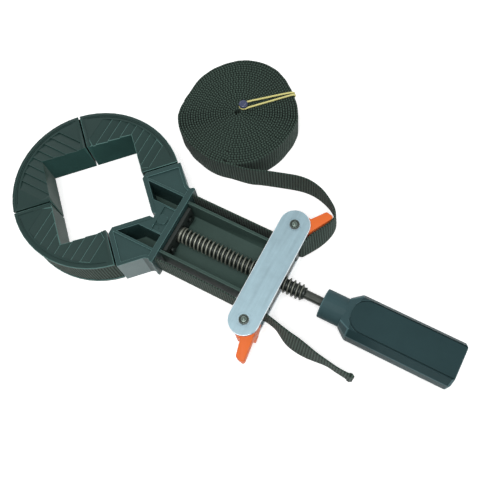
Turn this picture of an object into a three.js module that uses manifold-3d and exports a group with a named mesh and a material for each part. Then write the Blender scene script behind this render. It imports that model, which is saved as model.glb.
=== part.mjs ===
// A band clamp: four corner jaws held in a loop of strap, a head with a screw that draws a carriage,
// two cam levers that lock the strap's ends, a turning handle, and the spare strap in a roll.
// Millimetres, +Z up. The clamp lies flat, with the spindle along +X from the jaws to the handle.

import * as THREE from "three";
import { mergeVertices } from "three/addons/utils/BufferGeometryUtils.js";
import Module from "manifold-3d";

const wasm = await Module();
wasm.setup();

// Shared clearances
const seatGap = 0.3; // between two pieces that touch
const slideGap = 0.5; // between two pieces that slide on each other
const cutOverrun = 2; // how far a cut runs past the face it opens

// Strap
const strapWidth = 25;
const strapThick = 1.25;
const strapTurnRadius = 8; // of the bend where it leaves the jaws' ring for the body's side
const rollPitch = 1.75; // from one layer of the roll to the next
const rollLoops = 22;
const rollCoreRadius = 4.6;
const rollLead = 2.5; // straight end where the free run meets the roll
const rollCentre = new THREE.Vector2(61.5, 101.5);
const tailLength = 80.5; // of the free end, along X from the pins

// Corner jaws and their ring, centred on the model's own centre
const flangeThick = 2.2; // above and below the strap's groove
const ringRadius = 61.5; // to the flanges' edge
const jawDepth = 13.1; // from the flanges' edge to a jaw's inside corner
const splitGap = 1.2; // between two jaws
const strapInset = 0.6; // how far the strap lies inside the flanges' edge

// Head
const headDepth = 13.9; // from the flanges' edge to the faces of the head's notch, along X
const headStraight = 3.25; // straight wall between the strap's bend and the head's rear face
const guardWall = 1.9; // outside the strap
const rearLip = 1.2; // how far the rear edge stands out of the guard wall
const rearLipLength = 3;
const notchRelief = 1.6; // depth of the relief at the bottom of the notch
const notchReliefWidth = 3.2;
const armTipShort = 2.8; // how far an arm's inner end stops short of the split, along Y
const armTipSlope = 4.9; // height of the chamfer at the arm's inner end
const notchWall = 3.6;
const rearWall = 4.4;
const ribInner = 21.5; // the rib between pocket and panel, from the centre line
const ribThick = 1.9;
const pocketFloor = 4;
const panelDepth = 1.2;
const panelBorder = 2.4;
const splitBorder = 3.5;
const blockHalf = 10.6; // half width of the bearing block
const blockRecess = 1.2;
const blockBorder = 1.2;
const bossRadius = 3.9;
const bossHeight = 1;
const bossLead = 3.1; // from the front of the block's recess

// Body: the channel behind the head
const channelLength = 84; // behind the head's rear face
const bodyFloor = 2.5;
const railThick = 2;

// Spindle
const threadRadius = 6;
const threadPitch = 3.2;
const threadDepth = 1.5;
const threadRunIn = 1.2; // plain length between the bearing plate and the thread
const threadReach = 102; // from the head's rear face to the thread's end
const neckRadius = 3.5;
const neckShown = 13.5; // between the thread and the handle
const neckIn = 27; // length of neck inside the handle
const journalRadius = 3.5;
const journalLength = 9;
const collarRadius = 8;
const collarThick = 2.4;
const washerThick = 1;
const runningGap = 0.3; // round the turning spindle

// Bearing plate and its screws
const bearingPlateThick = 2.5;
const bearingPlateClear = 1.3; // on each side, inside the channel
const bearingPlateHeight = strapWidth * 0.72; // it stands in the channel, which is as deep as the strap is wide
const bearingScrewSpan = 26;
const bearingScrewRadius = 1.5;
const bearingScrewLength = 9;
const screwHeadRadius = 2.6;
const screwHeadHeight = 1.6;
const screwSlotWidth = 0.7;
const screwSlotDepth = 0.8;

// Carriage
const carriageRest = 75.5; // from the head's rear face to the pins, as photographed
const plateWidth = 22; // of the upper plate
const lowerPlateWidth = 18;
const plateThick = 2.2;
const blockLength = 18.6;
const blockBehind = 9.5; // how much of the block lies on the head's side of the pins
const nutLength = 12;
const nutAcross = 16;
const anvilThick = 3.6;
const anvilClear = 1; // between an anvil and the body's side
const strapSide = 26.8; // the strap's middle, beside the body
const pinRadius = 2.9;
const pinHeadRadius = 3.4;
const pinHeadHeight = 1.2;
const pinHeadChamfer = 0.4;
const pinFootRadius = 4.2;
const pinFootHeight = 0.8;

// Cam levers
const camGripRadius = 9.6; // at the point that bites the strap
const camBackRadius = 7.2;
const camFrontStep = 0.6; // how far the cam's front corner stands out past its grip
const camClear = 0.375; // between the strap and the cam when it bites
const leverReach = 27.5;
const leverArmStart = 9.6; // from the pin to where the lever is no longer as tall as its cam
const leverArmHeight = 10;
const restAngleLeft = 45; // degrees from +X
const restAngleRight = 68.4; // degrees from +X, the other way
const gripAngle = 45; // the lever's angle when its cam bites
const notchReach = 12.4; // from the pin to the step on the lever's outer edge
const notchRise = 1.4;
const hubShoulder = 9.3;
const hubShoulderRise = 5.3;
const tipOuterBack = 3; // from the lever's reach back to its outer corner
const tipOuterRise = 3.1;
const tipInnerBack = 2.2;
const tipInnerDrop = 3.4;
const leverRootReach = 5.8; // the corner between the lever and its cam
const leverRootDrop = 8.6;

// Handle
const handleCollarRadius = 10.5;
const handleCollarLength = 17;
const shoulderLength = 6;
const gripLength = 73.5;
const gripHalfWidth = 15.7;
const gripClear = 0.5; // under the grip, to the table
const gripBevelWide = 3.6;
const gripBevelHigh = 8;
const panelLead = 2.5; // how far the raised panel's nose reaches onto the shoulder
const panelRise = 0.5;
const panelHalfWidth = 11;
const gripEndBevel = 1.2;

// Roll button and elastic tie
const buttonRadius = 3.5;
const buttonCapHeight = 2.3;
const buttonStemRadius = 1.9;
const buttonStemHeight = 2.8;
const buttonOffset = new THREE.Vector2(1.5, 5.8); // from the roll's centre
const tieRadius = 0.7;

// Counts
const arcSteps = 14;
const roundSides = 28;
const smallSides = 18;
const rollStepsPerLoop = 24;
const threadSides = 12;
const threadStepsPerPitch = 4;
const runSteps = 44;
const tailSteps = 20;
const tieSteps = 72;
const tieSides = 8;

// Angles and shares
const quarter = Math.PI / 2;
const eighth = Math.PI / 4;
const diagonal = Math.SQRT1_2;
const rollJoinShare = -0.84; // of a quarter turn from +X, where the free run meets the roll
const threadCrestShare = 0.25; // of half a pitch, flat at the crest and at the root
const camFrontShare = 1 / 3; // of a quarter turn, from the bite to the cam's front corner

// Sizes worked out from those above
const jawHeight = strapWidth + 2 * (seatGap + flangeThick);
const grooveTop = jawHeight - flangeThick;
const strapBase = flangeThick + seatGap;
const strapRadius = ringRadius - strapInset - strapThick / 2;
const strapFace = strapThick / 2 + seatGap;
const grooveRadius = strapRadius - strapFace;
const guardOffset = strapFace + guardWall;
const jawCorner = ringRadius - jawDepth;
const headCorner = ringRadius - headDepth;
const strapBendX = strapRadius / diagonal - strapSide + strapTurnRadius * Math.tan(eighth / 2);
const headRear = strapBendX + headStraight;
const spindleHeight = jawHeight / 2;
const boreRadius = threadRadius + runningGap;
const threadEnd = headRear + threadReach;
const collarStart = threadEnd + neckShown;
const pinX = headRear + carriageRest;
const pinHalfSpan = strapSide + strapThick / 2 + camClear + camGripRadius;
const plateFoot = strapBase - seatGap; // the lower plate's upper face
const plateBase = plateFoot - plateThick;
const plateLow = strapBase + strapWidth + seatGap; // the upper plate's lower face
const plateTop = plateLow + plateThick;
const bodyEnd = headRear + channelLength;
const bodyBase = plateFoot + slideGap;
const railTop = plateLow - slideGap;
const railOuter = strapSide - strapFace - anvilThick - anvilClear;
const railInner = railOuter - railThick;
const gripHeight = jawHeight - 2 * gripClear;

// Turns a closed geometry into a solid that can be cut and joined.
function solid(geometry) {
  const bare = geometry.index ? geometry.toNonIndexed() : geometry.clone();
  bare.deleteAttribute("normal");
  bare.deleteAttribute("uv");
  const merged = mergeVertices(bare);
  return new wasm.Manifold(
    new wasm.Mesh({
      numProp: 3,
      vertProperties: new Float32Array(merged.attributes.position.array),
      triVerts: new Uint32Array(merged.index.array),
    }),
  );
}

// The geometry of a finished solid.
function geometryOf(body) {
  const { numProp, vertProperties, triVerts } = body.getMesh();
  const places = [];
  for (const corner of triVerts) {
    const start = corner * numProp;
    places.push(...vertProperties.subarray(start, start + numProp));
  }
  const geometry = new THREE.BufferGeometry();
  geometry.setAttribute("position", new THREE.Float32BufferAttribute(places, 3));
  geometry.computeVertexNormals();
  return geometry;
}

// An outline of points in plan, raised from one height to another.
function raised(points, low, high) {
  const settings = { depth: high - low, bevelEnabled: false };
  return new THREE.ExtrudeGeometry(new THREE.Shape(points), settings).translate(0, 0, low);
}

// An upright cylinder at a place in plan.
function post(x, y, radius, low, high, sides = roundSides) {
  const height = high - low;
  const round = new THREE.CylinderGeometry(radius, radius, height, sides);
  return round.rotateX(quarter).translate(x, y, low + height / 2);
}

// A cylinder along X, on the spindle's axis unless placed elsewhere.
function bar(from, to, radius, y = 0, z = spindleHeight, sides = roundSides) {
  const round = new THREE.CylinderGeometry(radius, radius, to - from, sides);
  return round.rotateZ(quarter).translate((from + to) / 2, y, z);
}

// A box from its low corner to its high corner.
function block(x0, x1, y0, y1, z0, z1) {
  const box = new THREE.BoxGeometry(x1 - x0, y1 - y0, z1 - z0);
  return box.translate((x0 + x1) / 2, (y0 + y1) / 2, (z0 + z1) / 2);
}

function point(x, y) {
  return new THREE.Vector2(x, y);
}

function polar(radius, angle, centre = point(0, 0)) {
  return point(centre.x + radius * Math.cos(angle), centre.y + radius * Math.sin(angle));
}

function arc(radius, from, to, steps, centre) {
  const points = [];
  for (let i = 0; i <= steps; i += 1) {
    points.push(polar(radius, from + ((to - from) * i) / steps, centre));
  }
  return points;
}

function mirrored(points) {
  return points.map((p) => point(p.x, -p.y)).reverse();
}

// A flat strip swept along its path. Each station has a middle, the direction across the
// strip's width, and the direction through its thickness.
function strip(stations, width, thick) {
  const places = [];
  const rings = stations.map(({ middle, across, through }) => {
    const a = across.clone().multiplyScalar(width / 2);
    const t = through.clone().multiplyScalar(thick / 2);
    return [
      middle.clone().sub(a).sub(t),
      middle.clone().sub(a).add(t),
      middle.clone().add(a).add(t),
      middle.clone().add(a).sub(t),
    ];
  });
  const face = (a, b, c, d) => {
    for (const corner of [a, b, c, a, c, d]) places.push(corner.x, corner.y, corner.z);
  };
  for (let i = 1; i < rings.length; i += 1) {
    rings[i].forEach((corner, k) => {
      const next = (k + 1) % rings[i].length;
      face(rings[i - 1][k], rings[i - 1][next], rings[i][next], corner);
    });
  }
  face(...[...rings[0]].reverse());
  face(...rings[rings.length - 1]);
  const geometry = new THREE.BufferGeometry();
  geometry.setAttribute("position", new THREE.Float32BufferAttribute(places, 3));
  return solid(geometry).volume() < 0 ? turned(geometry) : geometry;
}

// The same surface with its faces the other way round.
function turned(geometry) {
  const old = geometry.attributes.position;
  const places = [];
  for (let i = old.count - 1; i >= 0; i -= 1) places.push(old.getX(i), old.getY(i), old.getZ(i));
  const result = new THREE.BufferGeometry();
  result.setAttribute("position", new THREE.Float32BufferAttribute(places, 3));
  return result;
}

// Stations for a strap along a plan path. Heights are of its lower edge, and leans are in degrees
// to the left of travel.
function strapStations(path, heights, leans) {
  return path.map((place, i) => {
    const before = path[Math.max(i - 1, 0)];
    const after = path[Math.min(i + 1, path.length - 1)];
    const ahead = after.clone().sub(before).normalize();
    const back = place.clone().sub(before).normalize();
    const bend = i > 0 && i < path.length - 1 ? Math.max(ahead.dot(back), diagonal) : 1;
    const lean = THREE.MathUtils.degToRad(leans ? leans[i] : 0);
    const left = new THREE.Vector3(-ahead.y, ahead.x, 0);
    const up = new THREE.Vector3(0, 0, 1);
    const across = up.clone().multiplyScalar(Math.cos(lean)).addScaledVector(left, Math.sin(lean));
    const through = left.clone().multiplyScalar(Math.cos(lean)).addScaledVector(up, -Math.sin(lean));
    const middle = new THREE.Vector3(place.x, place.y, heights[i] + (strapWidth / 2) * Math.cos(lean));
    return { middle, across, through: through.multiplyScalar(1 / bend) };
  });
}

function level(path, height) {
  return path.map(() => height);
}

// A smooth line through chosen points.
function smooth(points, steps) {
  return new THREE.SplineCurve(points).getSpacedPoints(steps);
}

// Where the strap leaves the ring on the +Y side: straight off the circle, then round a bend and
// along the body. A positive offset lies outside the strap's middle.
function neckPath(offset, reach) {
  const leave = polar(strapRadius + offset, eighth);
  const bendRadius = strapTurnRadius - offset;
  const bendY = strapSide + strapTurnRadius;
  const bend = arc(bendRadius, -quarter - eighth, -quarter, arcSteps / 2, point(strapBendX, bendY));
  return [leave, ...bend, point(reach, strapSide + offset)];
}

// Pieces are collected here, in the order they are made.
const group = new THREE.Group();

const finishes = {
  shell: { color: 0x3c5052, roughness: 0.55, metalness: 0 },
  grip: { color: 0x32464b, roughness: 0.6, metalness: 0 },
  webbing: { color: 0x2d3430, roughness: 0.9, metalness: 0 },
  plate: { color: 0xa0bec8, roughness: 0.4, metalness: 0.6 },
  lever: { color: 0xfa6e32, roughness: 0.45, metalness: 0 },
  blackened: { color: 0x2c302f, roughness: 0.45, metalness: 0.8 },
  rivet: { color: 0x46504f, roughness: 0.4, metalness: 0.8 },
  bright: { color: 0xb8bcbd, roughness: 0.35, metalness: 0.9 },
  brass: { color: 0xb59a55, roughness: 0.4, metalness: 0.9 },
  button: { color: 0x323c5a, roughness: 0.4, metalness: 0 },
  elastic: { color: 0xdcc86e, roughness: 0.7, metalness: 0 },
};

function add(name, geometry, finish) {
  const mesh = new THREE.Mesh(geometry, new THREE.MeshStandardMaterial(finishes[finish]));
  mesh.name = name;
  group.add(mesh);
  return mesh;
}

// Corner jaws: a quarter of the ring each, with a groove outside for the strap.
function jawOutline() {
  const half = Math.asin(splitGap / 2 / ringRadius);
  const outer = arc(ringRadius, half - eighth, eighth - half, arcSteps);
  const inner = (jawCorner - splitGap * diagonal) / 2;
  const side = inner + splitGap * diagonal;
  return [...outer, point(side, inner), point(jawCorner, 0), point(side, -inner)];
}

function jawSolid() {
  const whole = solid(raised(jawOutline(), 0, jawHeight));
  const wide = arc(ringRadius + cutOverrun, -quarter, quarter, arcSteps * 2);
  const floor = arc(grooveRadius, quarter, -quarter, arcSteps * 2);
  const groove = raised([...wide, ...floor], flangeThick, grooveTop);
  return whole.subtract(solid(groove));
}

function makeJaws() {
  ["corner_jaw_left", "corner_jaw_far", "corner_jaw_right"].forEach((name, i) => {
    add(name, geometryOf(jawSolid()), "shell").rotation.z = quarter * (i + 1);
  });
}

// Head outline on the +Y side, from the notch outwards to the rear.
function headHalf() {
  const splitShift = splitGap * diagonal;
  const tipY = headCorner / 2 - armTipShort;
  const tip = point(headCorner - tipY, tipY);
  const tipTop = tipY + armTipSlope;
  const outerSide = (strapRadius + guardOffset) * diagonal;
  const outer = neckPath(guardOffset, headRear - rearLipLength);
  const lipY = strapSide + guardOffset + rearLip;
  return [
    point(headCorner + notchRelief, 0),
    point(headCorner + notchRelief, notchReliefWidth / 2),
    point(headCorner - notchReliefWidth / 2, notchReliefWidth / 2),
    tip,
    point(tipTop + splitShift, tipTop),
    point(outerSide + splitShift / 2, outerSide - splitShift / 2),
    ...outer.slice(1),
    point(headRear - rearLipLength + rearLip, lipY),
    point(headRear, lipY),
  ];
}

function headOutline() {
  const half = headHalf();
  return [...half, ...mirrored(half.slice(1))].reverse();
}

// The pocket between notch, bearing block, rear wall and rib.
function pocketOutline() {
  const wallSum = headCorner + notchWall / diagonal;
  const back = headRear - rearWall;
  return [
    point(wallSum - ribInner, ribInner),
    point(wallSum - blockHalf, blockHalf),
    point(back, blockHalf),
    point(back, ribInner),
  ];
}

// The shallow panel on top of an arm.
function panelOutline() {
  const low = ribInner + ribThick;
  const splitShift = (splitGap / 2 + splitBorder) / diagonal;
  const edge = (strapRadius + guardOffset - panelBorder) / diagonal;
  const wall = neckPath(guardOffset - panelBorder, headRear - rearWall);
  const corner = point((edge + splitShift) / 2, (edge - splitShift) / 2);
  const foot = point(low + splitShift, low);
  return [foot, corner, ...wall.slice(1), point(headRear - rearWall, low)].reverse();
}

// The slot that the strap passes through, from the arm's end to the rear face.
function slotOutline() {
  const before = polar(cutOverrun, quarter + eighth);
  const outer = neckPath(strapFace, headRear + cutOverrun);
  const inner = neckPath(-strapFace, headRear + cutOverrun);
  const start = [outer[0].clone().add(before), inner[0].clone().add(before)];
  return [...start, ...inner, ...outer.reverse()];
}

function makeBody() {
  const washerSeat = headRear - washerThick - seatGap;
  const collarSeat = washerSeat - collarThick - 2 * seatGap;
  let body = solid(raised(headOutline(), 0, jawHeight));
  const walls = block(headRear - rearWall, bodyEnd, -railOuter, railOuter, bodyBase, railTop);
  body = body.add(solid(walls));
  const channelFloor = bodyBase + bodyFloor;
  const channelEnd = bodyEnd + cutOverrun;
  const channel = block(headRear, channelEnd, -railInner, railInner, channelFloor, jawHeight);
  body = body.subtract(solid(channel));
  for (const side of [1, -1]) {
    const flip = (outline) => (side > 0 ? outline : mirrored(outline));
    const above = jawHeight + cutOverrun;
    body = body.subtract(solid(raised(flip(pocketOutline()), pocketFloor, above)));
    body = body.subtract(solid(raised(flip(panelOutline()), jawHeight - panelDepth, above)));
    body = body.subtract(solid(raised(flip(slotOutline()), flangeThick, grooveTop)));
    const screwY = (side * bearingScrewSpan) / 2;
    const screwHole = bearingScrewRadius + seatGap;
    const screwDepth = headRear - bearingScrewLength;
    const hole = bar(screwDepth, headRear + cutOverrun, screwHole, screwY, spindleHeight, smallSides);
    body = body.subtract(solid(hole));
  }
  const blockFront = headCorner + notchWall + blockBorder;
  const blockBack = headRear - rearWall;
  const recessHalf = blockHalf - blockBorder;
  const bossLow = jawHeight - blockRecess;
  const above = jawHeight + cutOverrun;
  const recess = block(blockFront, blockBack, -recessHalf, recessHalf, bossLow, above);
  body = body.subtract(solid(recess));
  const boss = post(blockFront + bossLead, 0, bossRadius, bossLow - cutOverrun, bossLow + bossHeight);
  body = body.add(solid(boss));
  const collarBore = bar(collarSeat, headRear + cutOverrun, collarRadius + runningGap + seatGap);
  const journalBore = bar(collarSeat - journalLength - seatGap, headRear, journalRadius + runningGap);
  body = body.subtract(solid(collarBore)).subtract(solid(journalBore));
  add("body_frame", geometryOf(body), "shell");
  return { washerSeat, collarSeat };
}

// How deep the thread is cut at a distance along it and an angle round it.
function threadCut(distance, angle) {
  const turns = distance / threadPitch - angle / (2 * Math.PI);
  const rise = Math.abs(2 * (turns - Math.floor(turns)) - 1);
  const share = (rise - threadCrestShare) / (1 - 2 * threadCrestShare);
  return threadDepth * THREE.MathUtils.clamp(share, 0, 1);
}

// Spindle: journal, thrust collar, right-hand thread and neck, in one piece.
function makeSpindle({ washerSeat, collarSeat }) {
  const collarStartX = collarSeat + seatGap;
  const collarEndX = collarStartX + collarThick;
  const threadStart = headRear + 2 * seatGap + bearingPlateThick + threadRunIn;
  const ring = (x, radiusAt) => {
    const outline = [];
    for (let i = 0; i < threadSides; i += 1) {
      const angle = (2 * Math.PI * i) / threadSides;
      outline.push(polar(radiusAt(angle), angle));
    }
    return { x, outline };
  };
  const sections = [
    ring(collarStartX - journalLength, () => journalRadius),
    ring(collarStartX, () => journalRadius),
    ring(collarStartX, () => collarRadius),
    ring(collarEndX, () => collarRadius),
    ring(collarEndX, () => threadRadius),
    ring(threadStart, () => threadRadius),
  ];
  const step = threadPitch / threadStepsPerPitch;
  const steps = Math.floor((threadEnd - threadStart) / step);
  for (let i = 1; i <= steps; i += 1) {
    const distance = i * step;
    sections.push(ring(threadStart + distance, (angle) => threadRadius - threadCut(distance, angle)));
  }
  sections.push(ring(threadEnd + step, () => neckRadius));
  sections.push(ring(collarStart + neckIn, () => neckRadius));
  add("spindle", loft(sections), "blackened");
  const washer = solid(bar(washerSeat, washerSeat + washerThick, collarRadius));
  const hole = solid(bar(washerSeat - cutOverrun, headRear, boreRadius));
  add("thrust_washer", geometryOf(washer.subtract(hole)), "brass");
}

// The plate that keeps the spindle's collar in the head, and its two screws.
function makeBearingPlate() {
  const from = headRear + seatGap;
  const to = from + bearingPlateThick;
  const low = spindleHeight - bearingPlateHeight / 2;
  const high = spindleHeight + bearingPlateHeight / 2;
  const half = railInner - bearingPlateClear;
  let plate = solid(block(from, to, -half, half, low, high));
  plate = plate.subtract(solid(bar(from - cutOverrun, to + cutOverrun, boreRadius)));
  const names = { 1: "bearing_screw_left", "-1": "bearing_screw_right" };
  for (const side of [1, -1]) {
    const y = (side * bearingScrewSpan) / 2;
    const holeRadius = bearingScrewRadius + seatGap;
    const hole = bar(from - cutOverrun, to + cutOverrun, holeRadius, y, spindleHeight, smallSides);
    plate = plate.subtract(solid(hole));
    const headStart = to + seatGap;
    const headEnd = headStart + screwHeadHeight;
    const tip = headRear - bearingScrewLength + seatGap;
    const overlap = screwHeadHeight / 2;
    const shank = solid(bar(tip, headStart + overlap, bearingScrewRadius, y, spindleHeight, smallSides));
    const head = solid(bar(headStart, headEnd, screwHeadRadius, y, spindleHeight, smallSides));
    const slot = block(
      headEnd - screwSlotDepth,
      headEnd + cutOverrun,
      y - screwHeadRadius - cutOverrun,
      y + screwHeadRadius + cutOverrun,
      spindleHeight - screwSlotWidth / 2,
      spindleHeight + screwSlotWidth / 2,
    );
    add(names[side], geometryOf(shank.add(head).subtract(solid(slot))), "bright");
  }
  add("bearing_plate", geometryOf(plate), "blackened");
}

// Carriage: two link plates, the block that slides in the channel, its nut and the two anvils.
function stadium(radius) {
  const left = arc(radius, 0, 2 * quarter, arcSteps, point(pinX, pinHalfSpan));
  const right = arc(radius, 2 * quarter, 4 * quarter, arcSteps, point(pinX, -pinHalfSpan));
  return [...left, ...right];
}

function makeCarriage() {
  let top = solid(raised(stadium(plateWidth / 2), plateLow, plateTop));
  let bottom = solid(raised(stadium(lowerPlateWidth / 2), plateBase, plateFoot));
  const pinHole = pinRadius + seatGap;
  const below = plateBase - cutOverrun;
  const footTop = plateBase + pinFootHeight + 2 * seatGap;
  for (const side of [1, -1]) {
    const y = side * pinHalfSpan;
    const through = solid(post(pinX, y, pinHole, below, plateTop + cutOverrun, smallSides));
    top = top.subtract(through);
    bottom = bottom.subtract(through);
    bottom = bottom.subtract(solid(post(pinX, y, pinFootRadius + seatGap, below, footTop)));
  }
  add("carriage_top_plate", geometryOf(top), "plate");
  add("carriage_bottom_plate", geometryOf(bottom), "plate");

  const from = pinX - blockBehind;
  const to = from + blockLength;
  const half = railInner - slideGap;
  const low = bodyBase + bodyFloor + slideGap;
  let core = solid(block(from, to, -half, half, low, plateLow - seatGap));
  core = core.subtract(solid(bar(from - cutOverrun, to + cutOverrun, boreRadius)));
  const nutFrom = pinX - nutLength / 2;
  const nutTo = nutFrom + nutLength;
  const pocketHalf = nutAcross / 2 + seatGap;
  const pocket = block(
    nutFrom - seatGap,
    nutTo + seatGap,
    -pocketHalf,
    pocketHalf,
    low - cutOverrun,
    spindleHeight + pocketHalf,
  );
  core = core.subtract(solid(pocket));
  add("carriage_block", geometryOf(core), "blackened");

  const nutHalf = nutAcross / 2;
  const nutLow = spindleHeight - nutHalf;
  let nut = solid(block(nutFrom, nutTo, -nutHalf, nutHalf, nutLow, nutLow + nutAcross));
  nut = nut.subtract(solid(bar(nutFrom - cutOverrun, nutTo + cutOverrun, boreRadius)));
  add("carriage_nut", geometryOf(nut), "brass");

  const names = { 1: "strap_anvil_left", "-1": "strap_anvil_right" };
  for (const side of [1, -1]) {
    const outer = strapSide - strapFace;
    const inner = outer - anvilThick;
    const edges = [side * inner, side * outer].sort((a, b) => a - b);
    add(names[side], block(from, to, ...edges, plateFoot + seatGap, plateLow - seatGap), "blackened");
  }
}

// Cam levers, drawn with the pin at the origin and the lever along +X, for the +Y side.
function leverOutline() {
  const bite = -quarter - THREE.MathUtils.degToRad(gripAngle);
  const back = bite - quarter;
  const cam = [];
  for (let i = 0; i <= arcSteps; i += 1) {
    const share = i / arcSteps;
    const radius = camGripRadius + (camBackRadius - camGripRadius) * share;
    cam.push(polar(radius, bite + (back - bite) * share));
  }
  const front = polar(camGripRadius + camFrontStep, bite + quarter * camFrontShare);
  return [
    point(leverRootReach, -leverRootDrop),
    front,
    ...cam,
    polar(camBackRadius, quarter + eighth),
    polar(camBackRadius + (hubShoulder - camBackRadius) / 2, quarter),
    point(hubShoulder, hubShoulderRise),
    point(notchReach, notchRise),
    point(leverReach - tipOuterBack, tipOuterRise),
    point(leverReach, -tipInnerDrop / 2),
    point(leverReach - tipInnerBack, -tipInnerDrop),
  ].reverse();
}

function makeLevers() {
  const low = plateFoot + seatGap;
  const high = plateLow - seatGap;
  const names = { 1: "cam_lever_left", "-1": "cam_lever_right" };
  const pinNames = { 1: "lever_pin_left", "-1": "lever_pin_right" };
  for (const side of [1, -1]) {
    const outline = leverOutline();
    const plan = side > 0 ? outline : mirrored(outline);
    const hole = post(0, 0, pinRadius + runningGap, low - cutOverrun, high + cutOverrun, smallSides);
    const armSpace = block(
      leverArmStart,
      leverReach + cutOverrun,
      -leverReach,
      leverReach,
      low - cutOverrun,
      high - leverArmHeight,
    );
    const lever = solid(raised(plan, low, high)).subtract(solid(hole)).subtract(solid(armSpace));
    const mesh = add(names[side], geometryOf(lever), "lever");
    const rest = side > 0 ? restAngleLeft : -restAngleRight;
    mesh.position.set(pinX, side * pinHalfSpan, 0);
    mesh.rotation.z = THREE.MathUtils.degToRad(rest);
    makePin(pinNames[side], side * pinHalfSpan);
  }
}

function makePin(name, y) {
  const footLow = plateBase + seatGap;
  const footHigh = footLow + pinFootHeight;
  const headLow = plateTop + seatGap;
  const headHigh = headLow + pinHeadHeight;
  const profile = [
    [0, footLow],
    [pinFootRadius, footLow],
    [pinFootRadius, footHigh],
    [pinRadius, footHigh],
    [pinRadius, headLow],
    [pinHeadRadius, headLow],
    [pinHeadRadius, headHigh - pinHeadChamfer],
    [pinHeadRadius - pinHeadChamfer, headHigh],
    [0, headHigh],
  ];
  const pin = new THREE.LatheGeometry(profile.map(([r, z]) => point(r, z)), smallSides);
  add(name, pin.rotateX(quarter).translate(pinX, y, 0), "rivet");
}

// Handle: a round collar, a shoulder and a bevelled grip.
function gripSection(widthShare, heightShare) {
  const w = gripHalfWidth * widthShare;
  const h = (gripHeight / 2) * heightShare;
  const bw = gripBevelWide * widthShare;
  const bh = gripBevelHigh * heightShare;
  return [
    point(w - bw, h),
    point(w, h - bh),
    point(w, bh - h),
    point(w - bw, -h),
    point(bw - w, -h),
    point(-w, bh - h),
    point(-w, h - bh),
    point(bw - w, h),
  ];
}

// Joins outlines of one count, each at its own place along X, into a closed skin.
function loft(sections) {
  const rings = sections.map(({ x, outline }) =>
    outline.map((p) => new THREE.Vector3(x, p.x, spindleHeight + p.y)),
  );
  const places = [];
  const triangle = (...corners) => corners.forEach((c) => places.push(c.x, c.y, c.z));
  for (let i = 1; i < rings.length; i += 1) {
    rings[i].forEach((corner, k) => {
      const next = (k + 1) % rings[i].length;
      triangle(rings[i - 1][k], corner, rings[i][next]);
      triangle(rings[i - 1][k], rings[i][next], rings[i - 1][next]);
    });
  }
  const first = rings[0];
  const last = rings[rings.length - 1];
  for (let k = 1; k < first.length - 1; k += 1) {
    triangle(first[0], first[k], first[k + 1]);
    triangle(last[0], last[k + 1], last[k]);
  }
  const geometry = new THREE.BufferGeometry();
  geometry.setAttribute("position", new THREE.Float32BufferAttribute(places, 3));
  return solid(geometry).volume() < 0 ? turned(geometry) : geometry;
}

function makeHandle() {
  const collarEnd = collarStart + handleCollarLength;
  const gripStart = collarEnd + shoulderLength;
  const gripEnd = gripStart + gripLength;
  const lead = cutOverrun / 2;
  const neckShare = handleCollarRadius / gripHalfWidth;
  const endShare = 1 - gripEndBevel / gripHalfWidth;
  const grip = loft([
    { x: collarEnd - lead, outline: gripSection(neckShare, neckShare) },
    { x: gripStart, outline: gripSection(1, 1) },
    { x: gripEnd - gripEndBevel, outline: gripSection(1, 1) },
    { x: gripEnd, outline: gripSection(endShare, endShare) },
  ]);
  let handle = solid(bar(collarStart, collarEnd, handleCollarRadius)).add(solid(grip));
  const panelEnd = gripEnd - gripEndBevel;
  const noseCentre = point(gripStart - panelLead + panelHalfWidth, 0);
  const nose = arc(panelHalfWidth, quarter, 3 * quarter, arcSteps, noseCentre);
  const panelPlan = [point(panelEnd, panelHalfWidth), ...nose, point(panelEnd, -panelHalfWidth)];
  const panelTop = spindleHeight + gripHeight / 2;
  handle = handle.add(solid(raised(panelPlan, panelTop - cutOverrun, panelTop + panelRise)));
  const bore = bar(collarStart - cutOverrun, collarStart + neckIn + seatGap, neckRadius + seatGap);
  handle = handle.subtract(solid(bore));
  add("handle", geometryOf(handle), "grip");
}

// The strap round the jaws and through the head, with its two stretches beside the body.
function ringStrapPath() {
  const end = headRear - seatGap;
  const out = neckPath(0, end);
  const round = arc(strapRadius, eighth, 2 * Math.PI - eighth, 3 * arcSteps);
  return [...out.slice(1).reverse(), ...round, ...mirrored(out.slice(1).reverse())];
}

// Free run from the left cam to the roll, in shares of the way between them. Below zero, the first
// share is of the lever's reach, because the run goes round the lever's tip.
const runShares = [
  [-0.0728, 0], [-0.3676, 0.003], [-0.4768, 0.1023], [-0.5786, 0.2317], [-0.6842, 0.3851],
  [-0.7752, 0.5656], [-0.8298, 0.7461], [-0.8298, 0.9206], [-0.757, 1.0771], [-0.6224, 1.2064],
  [-0.4332, 1.3057], [-0.2074, 1.3779], [0.0167, 1.4231], [0.1231, 1.4291], [0.2356, 1.396],
  [0.3632, 1.3298], [0.5, 1.2516], [0.6398, 1.1673], [0.7736, 1.0771],
];

// Free end from the right cam, in shares of its length along X and outwards, and its lean in degrees.
const tailShares = [
  [0.0248, 0], [0.1255, 0.0012], [0.1988, 0.0112], [0.2845, 0.0273], [0.3677, 0.0509],
  [0.4708, 0.0845], [0.5826, 0.1056], [0.682, 0.1143], [0.7776, 0.1193], [0.8509, 0.1255],
  [0.9304, 0.1354], [1, 0.1441],
];
const tailLeans = [0, 0, 1, 2, 5, 9, 8, 6, 3, 1, 0, 0];

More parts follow.
